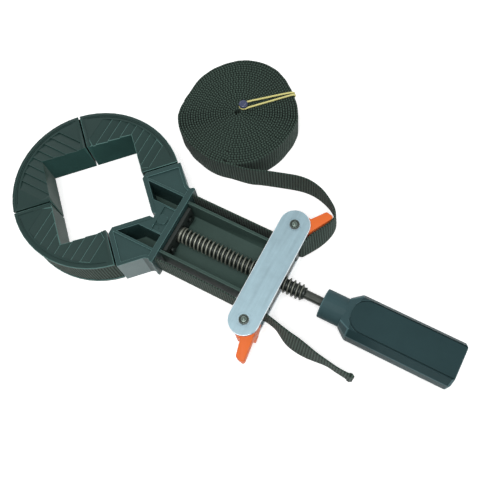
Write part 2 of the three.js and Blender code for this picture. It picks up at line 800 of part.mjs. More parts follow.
// Elastic tie: from the roll's foot over its rim, round the button and back, chosen by hand.
const tieRoute = [
  [83, 140.8, 1.4], [86.4, 138.8, 9], [89.5, 136.5, 17], [91.3, 134.9, 22.5],
  [91.3, 133.8, 25.2], [89.7, 132.3, 26.1], [85.8, 129.3, 26.2], [79.6, 124.3, 26.2],
  [73.5, 119.3, 26.2], [67.3, 114.3, 26.2], [63.7, 111.2, 26.2], [61.1, 109.4, 26.2],
  [60.2, 107.4, 26.2], [60.8, 105.4, 26.2], [62.8, 104.5, 26.2], [64.9, 105.2, 26.2],
  [67.2, 107.6, 26.2], [70.5, 110.8, 26.2], [76.2, 116.3, 26.2], [81.9, 121.8, 26.2],
  [87.6, 127.3, 26.2], [91.2, 130.8, 26.1], [92.7, 132.4, 25.2], [92.8, 133.6, 22.5],
  [91.1, 135.2, 17], [88, 137.6, 9], [84.7, 139.8, 1.4],
].map(([x, y, z]) => new THREE.Vector3(x, y, z));

// The roll: layers wound from the core outwards, and a straight lead where the run leaves it.
function rollPath() {
  const joinAngle = rollJoinShare * quarter;
  const outerRadius = rollCoreRadius + rollPitch * rollLoops;
  const steps = rollLoops * rollStepsPerLoop;
  const points = [];
  for (let i = 0; i <= steps; i += 1) {
    const share = i / steps;
    const angle = joinAngle - (1 - share) * rollLoops * 2 * Math.PI;
    points.push(polar(rollCoreRadius + (outerRadius - rollCoreRadius) * share, angle, rollCentre));
  }
  const end = points[points.length - 1];
  const ahead = end.clone().sub(points[points.length - 2]).normalize();
  points.push(end.clone().addScaledVector(ahead, rollLead));
  return points;
}

function pathLength(points) {
  return points.slice(1).reduce((sum, p, i) => sum + p.distanceTo(points[i]), 0);
}

function makeStrap() {
  const ring = ringStrapPath();
  add("strap_loop", strip(strapStations(ring, level(ring, strapBase)), strapWidth, strapThick), "webbing");
  let total = pathLength(ring);

  const names = { 1: "strap_side_left", "-1": "strap_side_right" };
  for (const side of [1, -1]) {
    const path = [point(headRear, side * strapSide), point(pinX - seatGap, side * strapSide)];
    add(names[side], strip(strapStations(path, level(path, strapBase)), strapWidth, strapThick), "webbing");
    total += pathLength(path);
  }

  const roll = rollPath();
  const rollEnd = roll[roll.length - 1];
  const onward = rollEnd.clone().sub(roll[roll.length - 2]).normalize();
  const runStart = point(pinX, strapSide);
  const way = rollEnd.clone().sub(runStart);
  const runRoute = runShares.map(([x, y]) =>
    point(x < 0 ? -x * leverReach : x * way.x, y * way.y).add(runStart),
  );
  const arrival = rollEnd.clone().addScaledVector(onward, seatGap);
  const run = smooth([runStart, ...runRoute, arrival], runSteps);
  const drop = run.map((p, i) => strapBase * (1 - i / runSteps));
  add("strap_run", strip(strapStations(run, drop), strapWidth, strapThick), "webbing");
  total += pathLength(run);

  const tailStart = point(pinX, -strapSide);
  const tailRoute = tailShares.map(([x, y]) => point(x * tailLength, -y * tailLength).add(tailStart));
  const tail = smooth([tailStart, ...tailRoute], tailSteps);
  const leans = tail.map((p) => tailLeanAt((p.x - pinX) / tailLength));
  const tailDrop = tail.map((p, i) => strapBase * (1 - i / tailSteps) + seatGap);
  add("strap_tail", strip(strapStations(tail, tailDrop, leans), strapWidth, strapThick), "webbing");
  total += pathLength(tail);

  add("strap_roll", strip(strapStations(roll, level(roll, 0)), strapWidth, strapThick), "webbing");
  total += pathLength(roll);
  console.log("strap length, mm:", Math.round(total), "roll alone:", Math.round(pathLength(roll)));
  console.log("least gap between the roll's layers, mm:", leastGap(roll).toFixed(2));
}

// The tail's lean at a share of its length, between the chosen values.
function tailLeanAt(place) {
  for (let i = 1; i < tailShares.length; i += 1) {
    const [from] = tailShares[i - 1];
    const [to] = tailShares[i];
    if (place <= to) {
      const share = THREE.MathUtils.clamp((place - from) / (to - from), 0, 1);
      return THREE.MathUtils.lerp(tailLeans[i - 1], tailLeans[i], share);
    }
  }
  return tailLeans[tailLeans.length - 1];
}

// The least free space between two layers, measured from each point to the steps one loop on.
function leastGap(points) {
  let least = Infinity;
  points.forEach((p, i) => {
    for (let k = i + rollStepsPerLoop / 2; k < points.length - 1; k += 1) {
      const line = new THREE.Line3(
        new THREE.Vector3(points[k].x, points[k].y, 0),
        new THREE.Vector3(points[k + 1].x, points[k + 1].y, 0),
      );
      const here = new THREE.Vector3(p.x, p.y, 0);
      least = Math.min(least, line.closestPointToPoint(here, true, new THREE.Vector3()).distanceTo(here));
    }
  });
  return least - strapThick;
}

// The button on the roll and the elastic looped round it.
function makeTie() {
  const { x, y } = rollCentre.clone().add(buttonOffset);
  const foot = strapWidth + seatGap;
  const capLow = foot + buttonStemHeight - tieRadius;
  const stem = post(x, y, buttonStemRadius, foot, foot + buttonStemHeight, smallSides);
  const cap = post(x, y, buttonRadius, capLow, capLow + buttonCapHeight, smallSides);
  add("roll_button", geometryOf(solid(stem).add(solid(cap))), "button");
  const section = new THREE.Shape(arc(tieRadius, 0, 2 * Math.PI, tieSides).slice(0, tieSides));
  const line = new THREE.CatmullRomCurve3(tieRoute);
  const settings = { steps: tieSteps, bevelEnabled: false, extrudePath: line };
  add("elastic_tie", new THREE.ExtrudeGeometry(section, settings), "elastic");
  console.log("elastic length, mm:", Math.round(line.getLength()));
}

makeJaws();
const seats = makeBody();
makeSpindle(seats);
makeBearingPlate();
makeCarriage();
makeLevers();
makeHandle();
makeStrap();
makeTie();

// The frame's origin is at the middle of the whole model's footprint, on the table.
const box = new THREE.Box3().setFromObject(group, true);
const origin = new THREE.Vector3((box.min.x + box.max.x) / 2, (box.min.y + box.max.y) / 2, box.min.z);
group.position.sub(origin);
const part = new THREE.Group();
part.add(group);
console.log("origin in the ring's frame, mm:", origin.toArray().map((v) => v.toFixed(3)).join(", "));

export default part;
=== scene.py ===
import math

import bmesh
import bpy
from bpy.props import FloatProperty, FloatVectorProperty, IntProperty, PointerProperty
from mathutils import Euler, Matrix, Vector, noise


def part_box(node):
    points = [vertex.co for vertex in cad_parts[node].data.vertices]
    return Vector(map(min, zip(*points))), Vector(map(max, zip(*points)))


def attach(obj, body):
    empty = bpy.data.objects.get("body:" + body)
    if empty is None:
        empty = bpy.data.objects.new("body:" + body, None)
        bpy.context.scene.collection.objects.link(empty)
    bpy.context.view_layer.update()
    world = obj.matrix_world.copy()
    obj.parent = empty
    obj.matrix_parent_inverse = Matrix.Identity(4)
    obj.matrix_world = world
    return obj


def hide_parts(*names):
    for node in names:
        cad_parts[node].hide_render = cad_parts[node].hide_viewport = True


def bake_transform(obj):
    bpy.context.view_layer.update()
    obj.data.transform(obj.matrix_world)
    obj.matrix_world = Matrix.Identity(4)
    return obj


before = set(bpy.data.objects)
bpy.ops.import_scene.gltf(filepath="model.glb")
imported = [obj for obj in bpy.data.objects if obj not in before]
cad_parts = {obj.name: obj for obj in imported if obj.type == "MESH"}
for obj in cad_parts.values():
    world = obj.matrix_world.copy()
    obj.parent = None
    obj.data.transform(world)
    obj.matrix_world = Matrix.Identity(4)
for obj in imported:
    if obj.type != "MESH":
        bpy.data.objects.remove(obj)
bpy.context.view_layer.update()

bl_info = {
    "name": "Band clamp",
    "version": (1, 0, 0),
    "blender": (4, 5, 0),
    "location": "View3D > Sidebar > Band clamp",
    "description": "Dresses the packed band clamp: webbing, jaws, body, screw, carriage, levers and handle",
    "category": "Object",
}

MM = 0.001

FULL_TURN = 2 * math.pi
QUARTER = math.pi / 2
EIGHTH = math.pi / 4
DIAGONAL = math.sqrt(0.5)

# The jaws' ring stands at this place in the frame. Shapes are written in millimetres from its centre.
RING_RADIUS = 61.5
RING_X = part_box("corner_jaw_far")[0][0] + RING_RADIUS * MM
RING_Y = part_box("corner_jaw_left")[1][1] - RING_RADIUS * MM

# Heights: the jaws' top, the screw's axis, and where cutters end, clear of every piece.
TOP = 30
AXIS = 15
ABOVE = 33
BELOW = -1

# The head's rear wall, and the left lever's pin.
HEAD_REAR = 65.0
PIN_X = 140.5
PIN_Y = 37.4


def at(x, y, z):
    """A place in the frame, in metres, from millimetres in the ring's own coordinates."""
    return Vector((RING_X + x * MM, RING_Y + y * MM, z * MM))


def srgb(red, green, blue):
    """A colour as it is seen, 0 to 255, made linear."""
    def linear(value):
        share = value / 255
        return share / 12.92 if share <= 0.04045 else ((share + 0.055) / 1.055) ** 2.4
    return tuple(linear(value) for value in (red, green, blue))


# Settings


def color_setting(name, description, *seen):
    """A colour that a user can change, given as it is seen, 0 to 255."""
    return FloatVectorProperty(name=name, description=description, subtype="COLOR", default=srgb(*seen),
                               min=0, max=1)


def length_setting(name, description, default, least=0.0):
    """A length that a user can change, in metres."""
    return FloatProperty(name=name, description=description, default=default, min=least, unit="LENGTH")


class ClampStrapSettings(bpy.types.PropertyGroup):
    """Sizes and colours of the webbing"""
    width: length_setting("Width", "Width of the webbing", 0.025, 0.01)
    thickness: length_setting("Thickness", "Thickness over the ribs", 0.00132, 0.0005)
    rib_depth: length_setting("Rib depth", "Depth of the grooves between the ribs, on each face", 0.00022)
    rib_pitch: length_setting("Rib pitch", "Distance from one rib to the next", 0.0021, 0.001)
    roll_pitch: length_setting("Roll pitch", "Distance from one layer to the next", 0.00177, 0.0014)
    roll_loops: IntProperty(name="Roll layers", description="Layers in the roll", default=23, min=3, max=24)
    # The webbing colour is painted on the rib tops, lighter as a highlight, and the groove colour between
    # them, darker as shade.
    color: color_setting("Webbing colour", "Colour of the ribs", 74, 93, 84)
    groove_shade_color: color_setting("Groove colour", "Colour between the ribs", 32, 43, 38)


class ClampPlasticSettings(bpy.types.PropertyGroup):
    """Colours and edge rounding of the moulded pieces, and the elastic's colour"""
    jaw_color: color_setting("Jaw colour", "Colour of the corner jaws", 36, 59, 56)
    body_color: color_setting("Body colour", "Colour of the head and the channel", 47, 73, 72)
    handle_color: color_setting("Handle colour", "Colour of the handle", 42, 65, 68)
    # The collar colour is painted lighter than the handle, as light on the collar's rounded top and the
    # shoulder.
    collar_color: color_setting("Collar colour", "Colour of the handle's collar and shoulder", 62, 87, 91)
    # The guard colour is a painted reflection of the bright surroundings on the smooth guards.
    guard_color: color_setting("Guard colour", "Colour of the guards beside the band", 112, 132, 132)
    # The floor colour is lighter than the body, painted as light on the sunk floors, the rails and the walls
    # of the jaws' opening that face +X and +Y.
    floor_color: color_setting("Floor colour", "Colour of the sunk floors and the rails", 70, 91, 85)
    lever_color: color_setting("Lever colour", "Colour of the cam levers", 255, 121, 60)
    button_color: color_setting("Button colour", "Colour of the button on the roll", 56, 66, 100)
    elastic_color: color_setting("Elastic colour", "Colour of the elastic tie", 255, 242, 160)
    bevel: length_setting("Edge rounding", "Radius of the moulded edges", 0.00045)


class ClampMetalSettings(bpy.types.PropertyGroup):
    """Colours and sizes of the metal pieces"""
    plate_color: color_setting("Plate colour", "Colour of the plated carriage plates", 148, 174, 184)
    # The crest colour is painted on the thread's crests as a highlight. The root colour is the dark colour of
    # the thread's roots, the bearing plate, the screws and the pins.
    crest_color: color_setting("Thread crest colour", "Colour of the thread's worn crests", 168, 172, 158)
    root_color: color_setting("Thread root colour", "Colour of the oily thread's roots", 30, 38, 35)
    black_color: color_setting("Blackened colour", "Colour of the blackened steel", 70, 76, 74)
    # The rivet colour is painted on the pins' heads as highlights, where their tone is high. The screws have
    # no tone and take the root colour.
    rivet_color: color_setting("Rivet colour", "Colour of the lever pins and the screws", 120, 138, 130)
    brass_color: color_setting("Brass colour", "Colour of the washer and the nut", 190, 165, 105)
    thread_radius: length_setting("Thread radius", "Radius over the spindle's thread", 0.006, 0.002)
    thread_depth: length_setting("Thread depth", "Depth of the thread", 0.0016, 0.0003)
    thread_pitch: length_setting("Thread pitch", "Travel of the carriage in one turn", 0.0032, 0.001)


class ClampStageSettings(bpy.types.PropertyGroup):
    """Colour of the floor and lens of the camera"""
    floor_color: FloatVectorProperty(name="Floor colour", description="Colour of the floor", subtype="COLOR",
                                     default=(0.9, 0.9, 0.9), min=0, max=1)
    lens: FloatProperty(name="Lens", description="Focal length of the camera, in millimetres",
                        default=46.79, min=10)


# Outlines and paths, in millimetres


def polar(radius, angle, centre=(0, 0)):
    return Vector((centre[0] + radius * math.cos(angle), centre[1] + radius * math.sin(angle)))


def arc(radius, start, end, steps, centre=(0, 0)):
    return [polar(radius, start + (end - start) * i / steps, centre) for i in range(steps + 1)]


def mirrored(points):
    return [Vector((p.x, -p.y)) for p in reversed(points)]


def turned(x, y, angle):
    """A place in plan, turned about the origin."""
    return Vector((x * math.cos(angle) - y * math.sin(angle), x * math.sin(angle) + y * math.cos(angle)))


def catmull(points, per_span=12):
    """A smooth line through chosen points, of any number of coordinates."""
    padded_points = [points[0] * 2 - points[1], *points, points[-1] * 2 - points[-2]]
    line = []
    for i in range(1, len(padded_points) - 2):
        a, b, c, d = padded_points[i - 1:i + 3]
        for k in range(per_span):
            t = k / per_span
            line.append(0.5 * (2 * b + (c - a) * t + (2 * a - 5 * b + 4 * c - d) * t * t
                               + (3 * b - 3 * c + d - a) * t ** 3))
    line.append(points[-1].copy())
    return line


def resample(points, step):
    """Points at an even distance along a line, with their distance from its start."""
    lengths = [0.0]
    for a, b in zip(points, points[1:]):
        lengths.append(lengths[-1] + (b - a).length)
    count = max(2, round(lengths[-1] / step))
    result = []
    k = 0
    for i in range(count + 1):
        s = lengths[-1] * i / count
        while k < len(points) - 2 and lengths[k + 1] < s:
            k += 1
        span = lengths[k + 1] - lengths[k]
        share = (s - lengths[k]) / span if span else 0
        result.append((points[k].lerp(points[k + 1], share), s))
    return result


def heading(stations, i, reach):
    """The direction of a resampled line at one of its points, taken over its neighbours."""
    return (stations[min(i + reach, len(stations) - 1)][0] - stations[max(i - reach, 0)][0]).normalized()


# Meshes

BEVEL_ROOM = 2.2
SQUEEZE_ANGLE = math.radians(16)
FACET_ANGLE = math.radians(3)


def piece_from(bm, name, material):
    """A new object in the scene from a bmesh in metres, with outward faces."""
    bmesh.ops.recalc_face_normals(bm, faces=bm.faces)
    mesh = bpy.data.meshes.new(name)
    bm.to_mesh(mesh)
    bm.free()
    mesh.materials.append(finish_named(material))
    piece = bpy.data.objects.new(name, mesh)
    bpy.context.scene.collection.objects.link(piece)
    return piece


def stands_for(piece, node, body):
    """Puts a piece in a CAD node's place, on a body, and hides the node."""
    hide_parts(node)
    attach(piece, body)


def smooth_shaded(piece, sharp_degrees):
    """Smooth faces, with edges sharper than the given angle kept."""
    mesh = piece.data
    mesh.polygons.foreach_set("use_smooth", [True] * len(mesh.polygons))
    mesh.set_sharp_from_angle(angle=math.radians(sharp_degrees))
    return piece


def depth_beside(edge, face):
    """How far a face reaches from one of its edges."""
    start, end = (vert.co for vert in edge.verts)
    along = (end - start).normalized()
    return max((vert.co - start - along * (vert.co - start).dot(along)).length for vert in face.verts)


def squeezed(edge, sharp):
    """Whether another sharp edge leaves almost the same way, so that a rounding would shoot past it."""
    for vert in edge.verts:
        along = edge.other_vert(vert).co - vert.co
        for other in vert.link_edges:
            if other != edge and other in sharp:
                if along.angle(other.other_vert(vert).co - vert.co) < SQUEEZE_ANGLE:
                    return True
    return False


def rounded_edges(piece, width, segments=2, degrees=30):
    """Rounds the sharp edges, and marks the rounded outer ones for a painted edge highlight. Flat faces stay
    flat in the shading.
    """
    mesh = piece.data
    bm = bmesh.new()
    bm.from_mesh(mesh)
    edge_highlight = bm.faces.layers.float.get("edge_highlight") or bm.faces.layers.float.new("edge_highlight")
    bmesh.ops.remove_doubles(bm, verts=bm.verts, dist=1e-5)
    bmesh.ops.triangulate(bm, faces=[face for face in bm.faces if len(face.verts) > 4])
    bm.normal_update()
    paired = [edge for edge in bm.edges if len(edge.link_faces) == 2]
    sharp = {edge for edge in paired if edge.calc_face_angle(0) > math.radians(degrees)}
    edges = []
    for edge in paired:
        if edge in sharp:
            deep = min(depth_beside(edge, face) for face in edge.link_faces) > BEVEL_ROOM * width
            if edge.is_convex and deep and not squeezed(edge, sharp):
                edges.append(edge)
            else:
                edge.smooth = False
        elif edge.calc_face_angle(0) > FACET_ANGLE:
            if min(abs(face.normal.z) for face in edge.link_faces) > 0.9:
                edge.smooth = False
    made = bmesh.ops.bevel(bm, geom=edges, offset=width, offset_type="OFFSET", segments=segments, profile=0.5,
                           affect="EDGES", clamp_overlap=False, loop_slide=False, material=-1)
    for face in made["faces"]:
        face[edge_highlight] = 1
    for face in bm.faces:
        face.smooth = True
    bm.to_mesh(mesh)
    bm.free()
    if not piece.modifiers:
        piece.modifiers.new("Flat faces", "WEIGHTED_NORMAL").keep_sharp = True


def recolored(piece, material, chosen):
    """Gives another finish to the faces that the test picks, by their middle in millimetres and normal."""
    piece.data.materials.append(finish_named(material))
    index = len(piece.data.materials) - 1
    for face in piece.data.polygons:
        middle = face.center / MM
        if chosen(middle.x - RING_X / MM, middle.y - RING_Y / MM, middle.z, face.normal):
            face.material_index = index


def carve(piece, tools):
    """Cuts the tools out of a piece, and removes them."""
    for tool in tools:
        step = piece.modifiers.new("Cut", "BOOLEAN")
        step.operation = "DIFFERENCE"
        step.solver = "EXACT"
        step.object = tool
    bpy.context.view_layer.update()
    graph = bpy.context.evaluated_depsgraph_get()
    mesh = bpy.data.meshes.new_from_object(piece.evaluated_get(graph), depsgraph=graph)
    spent = [piece.data, *(tool.data for tool in tools)]
    piece.modifiers.clear()
    piece.data = mesh
    for tool in tools:
        bpy.data.objects.remove(tool)
    for old in spent:
        bpy.data.meshes.remove(old)


def skin(bm, rings):
    """A closed solid over rings of vertices, with flat ends."""
    bm.faces.new(list(reversed(rings[0])))
    bm.faces.new(rings[-1])
    for low, high in zip(rings, rings[1:]):
        for k in range(len(low)):
            n = (k + 1) % len(low)
            bm.faces.new((low[k], low[n], high[n], high[k]))


def prism(name, outline, low, high, material):
    """A solid between two heights over an outline."""
    bm = bmesh.new()
    skin(bm, [[bm.verts.new(at(p[0], p[1], height)) for p in outline] for height in (low, high)])
    return piece_from(bm, name, material)


def cad_copy(node, name, material):
    """A new piece that starts from a CAD solid, with its flat faces made whole again."""
    bm = bmesh.new()
    bm.from_mesh(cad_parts[node].data)
    bmesh.ops.remove_doubles(bm, verts=bm.verts, dist=1e-6)
    bmesh.ops.dissolve_limit(bm, angle_limit=math.radians(0.5), verts=bm.verts, edges=bm.edges)
    return piece_from(bm, name, material)


def outset(outline, distance):
    """An outline moved outwards along its own edges' normals, counter-clockwise seen from above."""
    count = len(outline)
    moved = []
    for i in range(count):
        before = (outline[i] - outline[i - 1]).normalized()
        after = (outline[(i + 1) % count] - outline[i]).normalized()
        outward = Vector((before.y, -before.x))
        normal = Vector((before.y + after.y, -before.x - after.x))
        normal = normal.normalized() if normal.length > 1e-6 else outward
        moved.append(outline[i] + normal * (distance / max(0.4, normal.dot(outward))))
    return moved


def turned_piece(name, profile, x, y, material, sides=40):
    """A turned solid on an upright axis. profile has heights with radii, and where wanted a tone that paints
    a highlight.
    """
    bm = bmesh.new()
    tone = bm.verts.layers.float.new("tone")
    rings = []
    for height, radius, *bright in profile:
        spots = [polar(radius, FULL_TURN * k / sides, (x, y)) for k in range(sides if radius else 1)]
        rings.append([bm.verts.new(at(*spot, height)) for spot in spots])
        for vert in rings[-1]:
            vert[tone] = bright[0] if bright else 0
    for low, high in zip(rings, rings[1:]):
        for k in range(sides):
            n = (k + 1) % sides
            corners = (low[k % len(low)], low[n % len(low)], high[n % len(high)], high[k % len(high)])
            bm.faces.new(list(dict.fromkeys(corners)))
    return smooth_shaded(piece_from(bm, name, material), 50)


# Materials

YARN_PITCH = 0.62
STITCH_PITCH = 0.9


class Nodes:
    """A node tree, with short calls for what the finishes share. Most give a new node's output."""

    def __init__(self, tree, shader):
        self.tree = tree
        self.shader = tree.nodes[shader]

    def put(self, key, value, node=None):
        """Sets a socket to a value or links it to another socket. The node is the shader if none is given."""
        socket = (node or self.shader).inputs[key]
        if isinstance(value, bpy.types.NodeSocket):
            self.tree.links.new(value, socket)
        else:
            socket.default_value = value

    def add(self, kind, output, inputs=(), **settings):
        node = self.tree.nodes.new("ShaderNode" + kind)
        for key, value in settings.items():
            setattr(node, key, value)
        for key, value in dict(inputs).items():
            self.put(key, value, node)
        return node.outputs[output]

    def calculate(self, operation, *values, **settings):
        return self.add("Math", 0, enumerate(values), operation=operation, **settings)

    def attribute(self, name):
        return self.add("Attribute", "Fac", attribute_name=name)

    def speckle(self, scale, detail, roughness, place=None):
        """Noise, in the object's own coordinates if no place is given."""
        if place is None:
            place = self.add("TexCoord", "Object")
        inputs = {"Vector": place, "Scale": scale, "Detail": detail, "Roughness": roughness}
        return self.add("TexNoise", "Fac", inputs)

    def spread(self, value, low, high, new_low=0.0, new_high=1.0):
        """A value stretched from one range to another."""
        inputs = {"Value": value, "From Min": low, "From Max": high, "To Min": new_low, "To Max": new_high}
        return self.add("MapRange", "Result", inputs)

    def mix(self, factor, low, high, blend_type="MIX"):
        """A mix of two colours, each of them a socket or three numbers."""
        low, high = (c if isinstance(c, bpy.types.NodeSocket) else (*c, 1) for c in (low, high))
        return self.add("Mix", 2, {0: factor, 6: low, 7: high}, data_type="RGBA", blend_type=blend_type)

    def shades(self, color, factor, dark, light):
        """A colour that varies with a factor between a darker and a lighter shade of itself."""
        return self.mix(factor, [c * dark for c in color], [min(1, c * light) for c in color])

    def edge_highlight(self, share, color, light):
        """A colour with a share of a lighter one, a painted highlight, where the mesh marks a rounded outer
        edge.
        """
        return self.mix(self.calculate("MULTIPLY", self.attribute("edge_highlight"), share), color, light)

    def bump(self, height, strength, distance):
        inputs = {"Height": height, "Strength": strength, "Distance": distance}
        self.put("Normal", self.add("Bump", "Normal", inputs))

    def seen(self, *rays):
        """1 where the light path is one of the given kinds of ray."""
        share = 0
        for ray in rays:
            share = self.calculate("MAXIMUM", self.add("LightPath", ray), share)
        return share


def new_finish(name, roughness, metallic=0.0, specular=0.5):
    material = bpy.data.materials.new(name)
    material.use_nodes = True
    nodes = Nodes(material.node_tree, "Principled BSDF")
    nodes.put("Roughness", roughness)
    nodes.put("Metallic", metallic)
    nodes.put("Specular IOR Level", specular)
    return material, nodes


def moulded_plastic(name, color, roughness, grain, edge, specular=0.2, worn=2.6):
    """Moulded plastic: fine grain, cloudy tone, and rounded edges painted a little lighter as a highlight."""
    material, nodes = new_finish(name, roughness, specular=specular)
    clouds = nodes.speckle(55, 4, 0.6)
    pores = nodes.speckle(1400, 3, 0.55)
    # The colour that the rounded edges are painted, as a highlight.
    light = [min(1, c * worn + 0.03) for c in color]
    nodes.put("Base Color", nodes.edge_highlight(edge, nodes.shades(color, clouds, 0.84, 1.16), light))
    nodes.put("Roughness", nodes.spread(pores, 0.3, 0.7, roughness - 0.07, roughness + 0.09))
    nodes.bump(pores, grain, 0.0001)
    return material


def woven_webbing(name, strap):
    """Ribbed webbing: rib tops painted light as a highlight, grooves painted dark as shade, fine yarns across
    each rib, and some fuzz.
    """
    material, nodes = new_finish(name, 0.85, specular=0.12)
    nodes.put("Sheen Weight", 0.06)
    nodes.put("Sheen Roughness", 0.5)
    along = nodes.attribute("along")
    across = nodes.attribute("across")
    turn = nodes.calculate("MULTIPLY", along, FULL_TURN / (strap.rib_pitch / MM))
    rib = nodes.spread(nodes.calculate("COSINE", turn), -0.9, 0.75)
    fuzz = nodes.speckle(1.7, 5, 0.7, nodes.add("CombineXYZ", 0, {"X": along, "Y": across}))
    cross = nodes.calculate("MULTIPLY", across, FULL_TURN / YARN_PITCH)
    slant = nodes.calculate("MULTIPLY_ADD", turn, 0.5, cross)
    yarn = nodes.spread(nodes.calculate("SINE", slant), -1, 1)
    weave = nodes.spread(yarn, 0, 1, 0.72, 1.12)
    uneven = nodes.calculate("MULTIPLY", weave, nodes.spread(fuzz, 0.25, 0.75, 0.7, 1.35))
    # Along the rib pitch: painted shade in the grooves, painted highlight on the rib tops.
    ribs = nodes.mix(rib, strap.groove_shade_color, strap.color)
    nodes.put("Base Color", nodes.mix(1.0, ribs, uneven, "MULTIPLY"))
    nodes.bump(nodes.calculate("ADD", yarn, fuzz), 0.5, 0.00012)
    return material


def brushed_metal(name, color, roughness, metallic, streaks, grain, mottle, edge=0.3):
    """Metal with fine streaks along one direction, a slightly uneven coat, and rounded edges painted brighter
    as a highlight.
    """
    material, nodes = new_finish(name, roughness, metallic)
    stretched = nodes.add("Mapping", 0, {"Vector": nodes.add("TexCoord", "Object"), "Scale": streaks})
    lines = nodes.speckle(1, 4, 0.6, stretched)
    half = nodes.calculate("MULTIPLY", nodes.calculate("ADD", lines, nodes.speckle(130, 5, 0.65)), 0.5)
    coat = nodes.shades(color, nodes.spread(half, 0.35, 0.65), 1 - mottle, 1 + mottle)
    # Rounded edges are painted towards near white, as a highlight.
    nodes.put("Base Color", nodes.edge_highlight(edge, coat, (0.93, 0.97, 1)))
    nodes.put("Roughness", nodes.spread(lines, 0.3, 0.7, roughness - 0.08, roughness + 0.1))
    nodes.bump(half, grain, 0.00008)
    return material


def toned_steel(name, dark, light, roughness, metallic):
    """Steel that is dark in its hollows, and painted towards its light colour as a highlight where the mesh's
    tone is high: on the thread's crests and the pins' heads.
    """
    material, nodes = new_finish(name, roughness, metallic)
    coat = nodes.speckle(420, 4, 0.6)
    uneven = nodes.spread(coat, 0.3, 0.7, 0.7, 1.15)
    share = nodes.calculate("MULTIPLY", nodes.attribute("tone"), uneven, use_clamp=True)
    nodes.put("Base Color", nodes.mix(share, dark, light))
    nodes.bump(coat, 0.15, 0.00008)
    return material


def knitted_elastic(name, color):
    """Elastic cord: a knitted cover with slanting stitches."""
    material, nodes = new_finish(name, 0.7, specular=0.3)
    lengthways = nodes.calculate("MULTIPLY", nodes.attribute("along"), FULL_TURN / STITCH_PITCH)
    slant = nodes.calculate("MULTIPLY_ADD", nodes.attribute("around"), 3, lengthways)
    stitch = nodes.spread(nodes.calculate("SINE", slant), -1, 1)
    nodes.put("Base Color", nodes.shades(color, stitch, 0.62, 1.1))
    nodes.bump(stitch, 0.6, 0.00015)
    return material


def white_paper(name, color):
    """The floor: plain diffuse, and seen a little brighter than it is lit."""
    material, nodes = new_finish(name, 0.9, specular=0.0)
    nodes.put("Base Color", (*color, 1))
    nodes.put("Emission Color", (1, 1, 1, 1))
    seen = nodes.seen("Is Camera Ray", "Is Glossy Ray")
    nodes.put("Emission Strength", nodes.calculate("MULTIPLY", seen, 0.55))
    return material


def finish_named(name):
    """The material of that name, made the first time that a piece asks for it.

    A plastic has its colour, roughness, grain and painted edge highlight, then its gloss and how light that
    highlight is painted.
    Brushed metal has its colour, roughness, metallic share, streaks, grain, mottling and painted edge
    highlight.
    Toned steel has its dark and its light colour, roughness and metallic share."""
    known = bpy.data.materials.get(name)
    if known:
        return known
    scene = bpy.context.scene
    plastic = scene.clamp_plastic
    metal = scene.clamp_metal
    kinds = {
        "Jaw plastic": (moulded_plastic, plastic.jaw_color, 0.46, 0.3, 0.5),
        # The left and right jaws' rounded edges are painted much lighter, as highlights on their bands.
        "Worn jaw plastic": (moulded_plastic, plastic.jaw_color, 0.46, 0.3, 1.0, 0.2, 4.2),
        # The opening's walls are painted 2.1 times as light as the jaw, without gloss, as painted light.
        "Inner plastic": (moulded_plastic, [2.1 * c for c in plastic.jaw_color], 0.6, 0.3, 0.6, 0.0),
        "Body plastic": (moulded_plastic, plastic.body_color, 0.42, 0.22, 0.9, 0.2, 3.2),
        "Handle plastic": (moulded_plastic, plastic.handle_color, 0.5, 0.2, 0.8, 0.08),
        "Guard plastic": (moulded_plastic, plastic.guard_color, 0.4, 0.15, 0.3),
        # The floor colour is painted lighter than the body, as light.
        "Floor plastic": (moulded_plastic, plastic.floor_color, 0.5, 0.2, 0.3, 0.1),
        "Collar plastic": (moulded_plastic, plastic.collar_color, 0.5, 0.2, 0.5, 0.1),
        "Lever plastic": (moulded_plastic, plastic.lever_color, 0.45, 0.08, 0.1, 0.15),
        "Button plastic": (moulded_plastic, plastic.button_color, 0.25, 0.05, 0.2, 0.5),
        "Webbing": (woven_webbing, scene.clamp_strap),
        "Elastic": (knitted_elastic, plastic.elastic_color),
        # Plated steel's rounded edges are painted almost white, as a highlight.
        "Plated steel": (brushed_metal, metal.plate_color, 0.42, 0.42, (520, 30, 520), 0.12, 0.09, 0.85),
        "Blackened steel": (brushed_metal, metal.black_color, 0.5, 0.4, (60, 700, 700), 0.2, 0.2, 0.12),
        "Brass": (brushed_metal, metal.brass_color, 0.35, 0.95, (300, 300, 300), 0.1, 0.12),
        "Thread steel": (toned_steel, metal.root_color, metal.crest_color, 0.38, 0.35),
        "Rivet steel": (toned_steel, metal.root_color, metal.rivet_color, 0.3, 0.5),
        "Bearing steel": (toned_steel, metal.root_color, metal.crest_color, 0.6, 0.1),
        "White floor": (white_paper, scene.clamp_stage.floor_color),
    }
    maker, *details = kinds[name]
    return maker(name, *details)


# Webbing

# The band's middle line round the jaws, beside the body and in the bend, and its lower edge's height.
STRAP_RADIUS = 60.275
STRAP_SIDE = 26.8
STRAP_TURN_RADIUS = 8.0
STRAP_BASE = 2.5

# The webbing's edge, in shares: of the half width, of the half thickness there, and of the ribs' depth.
WEBBING_EDGE_SHARES = ((1, 0.3, 0), (0.985, 0.78, 0), (0.93, 0.9, 0.5), (0.88, 1, 1))

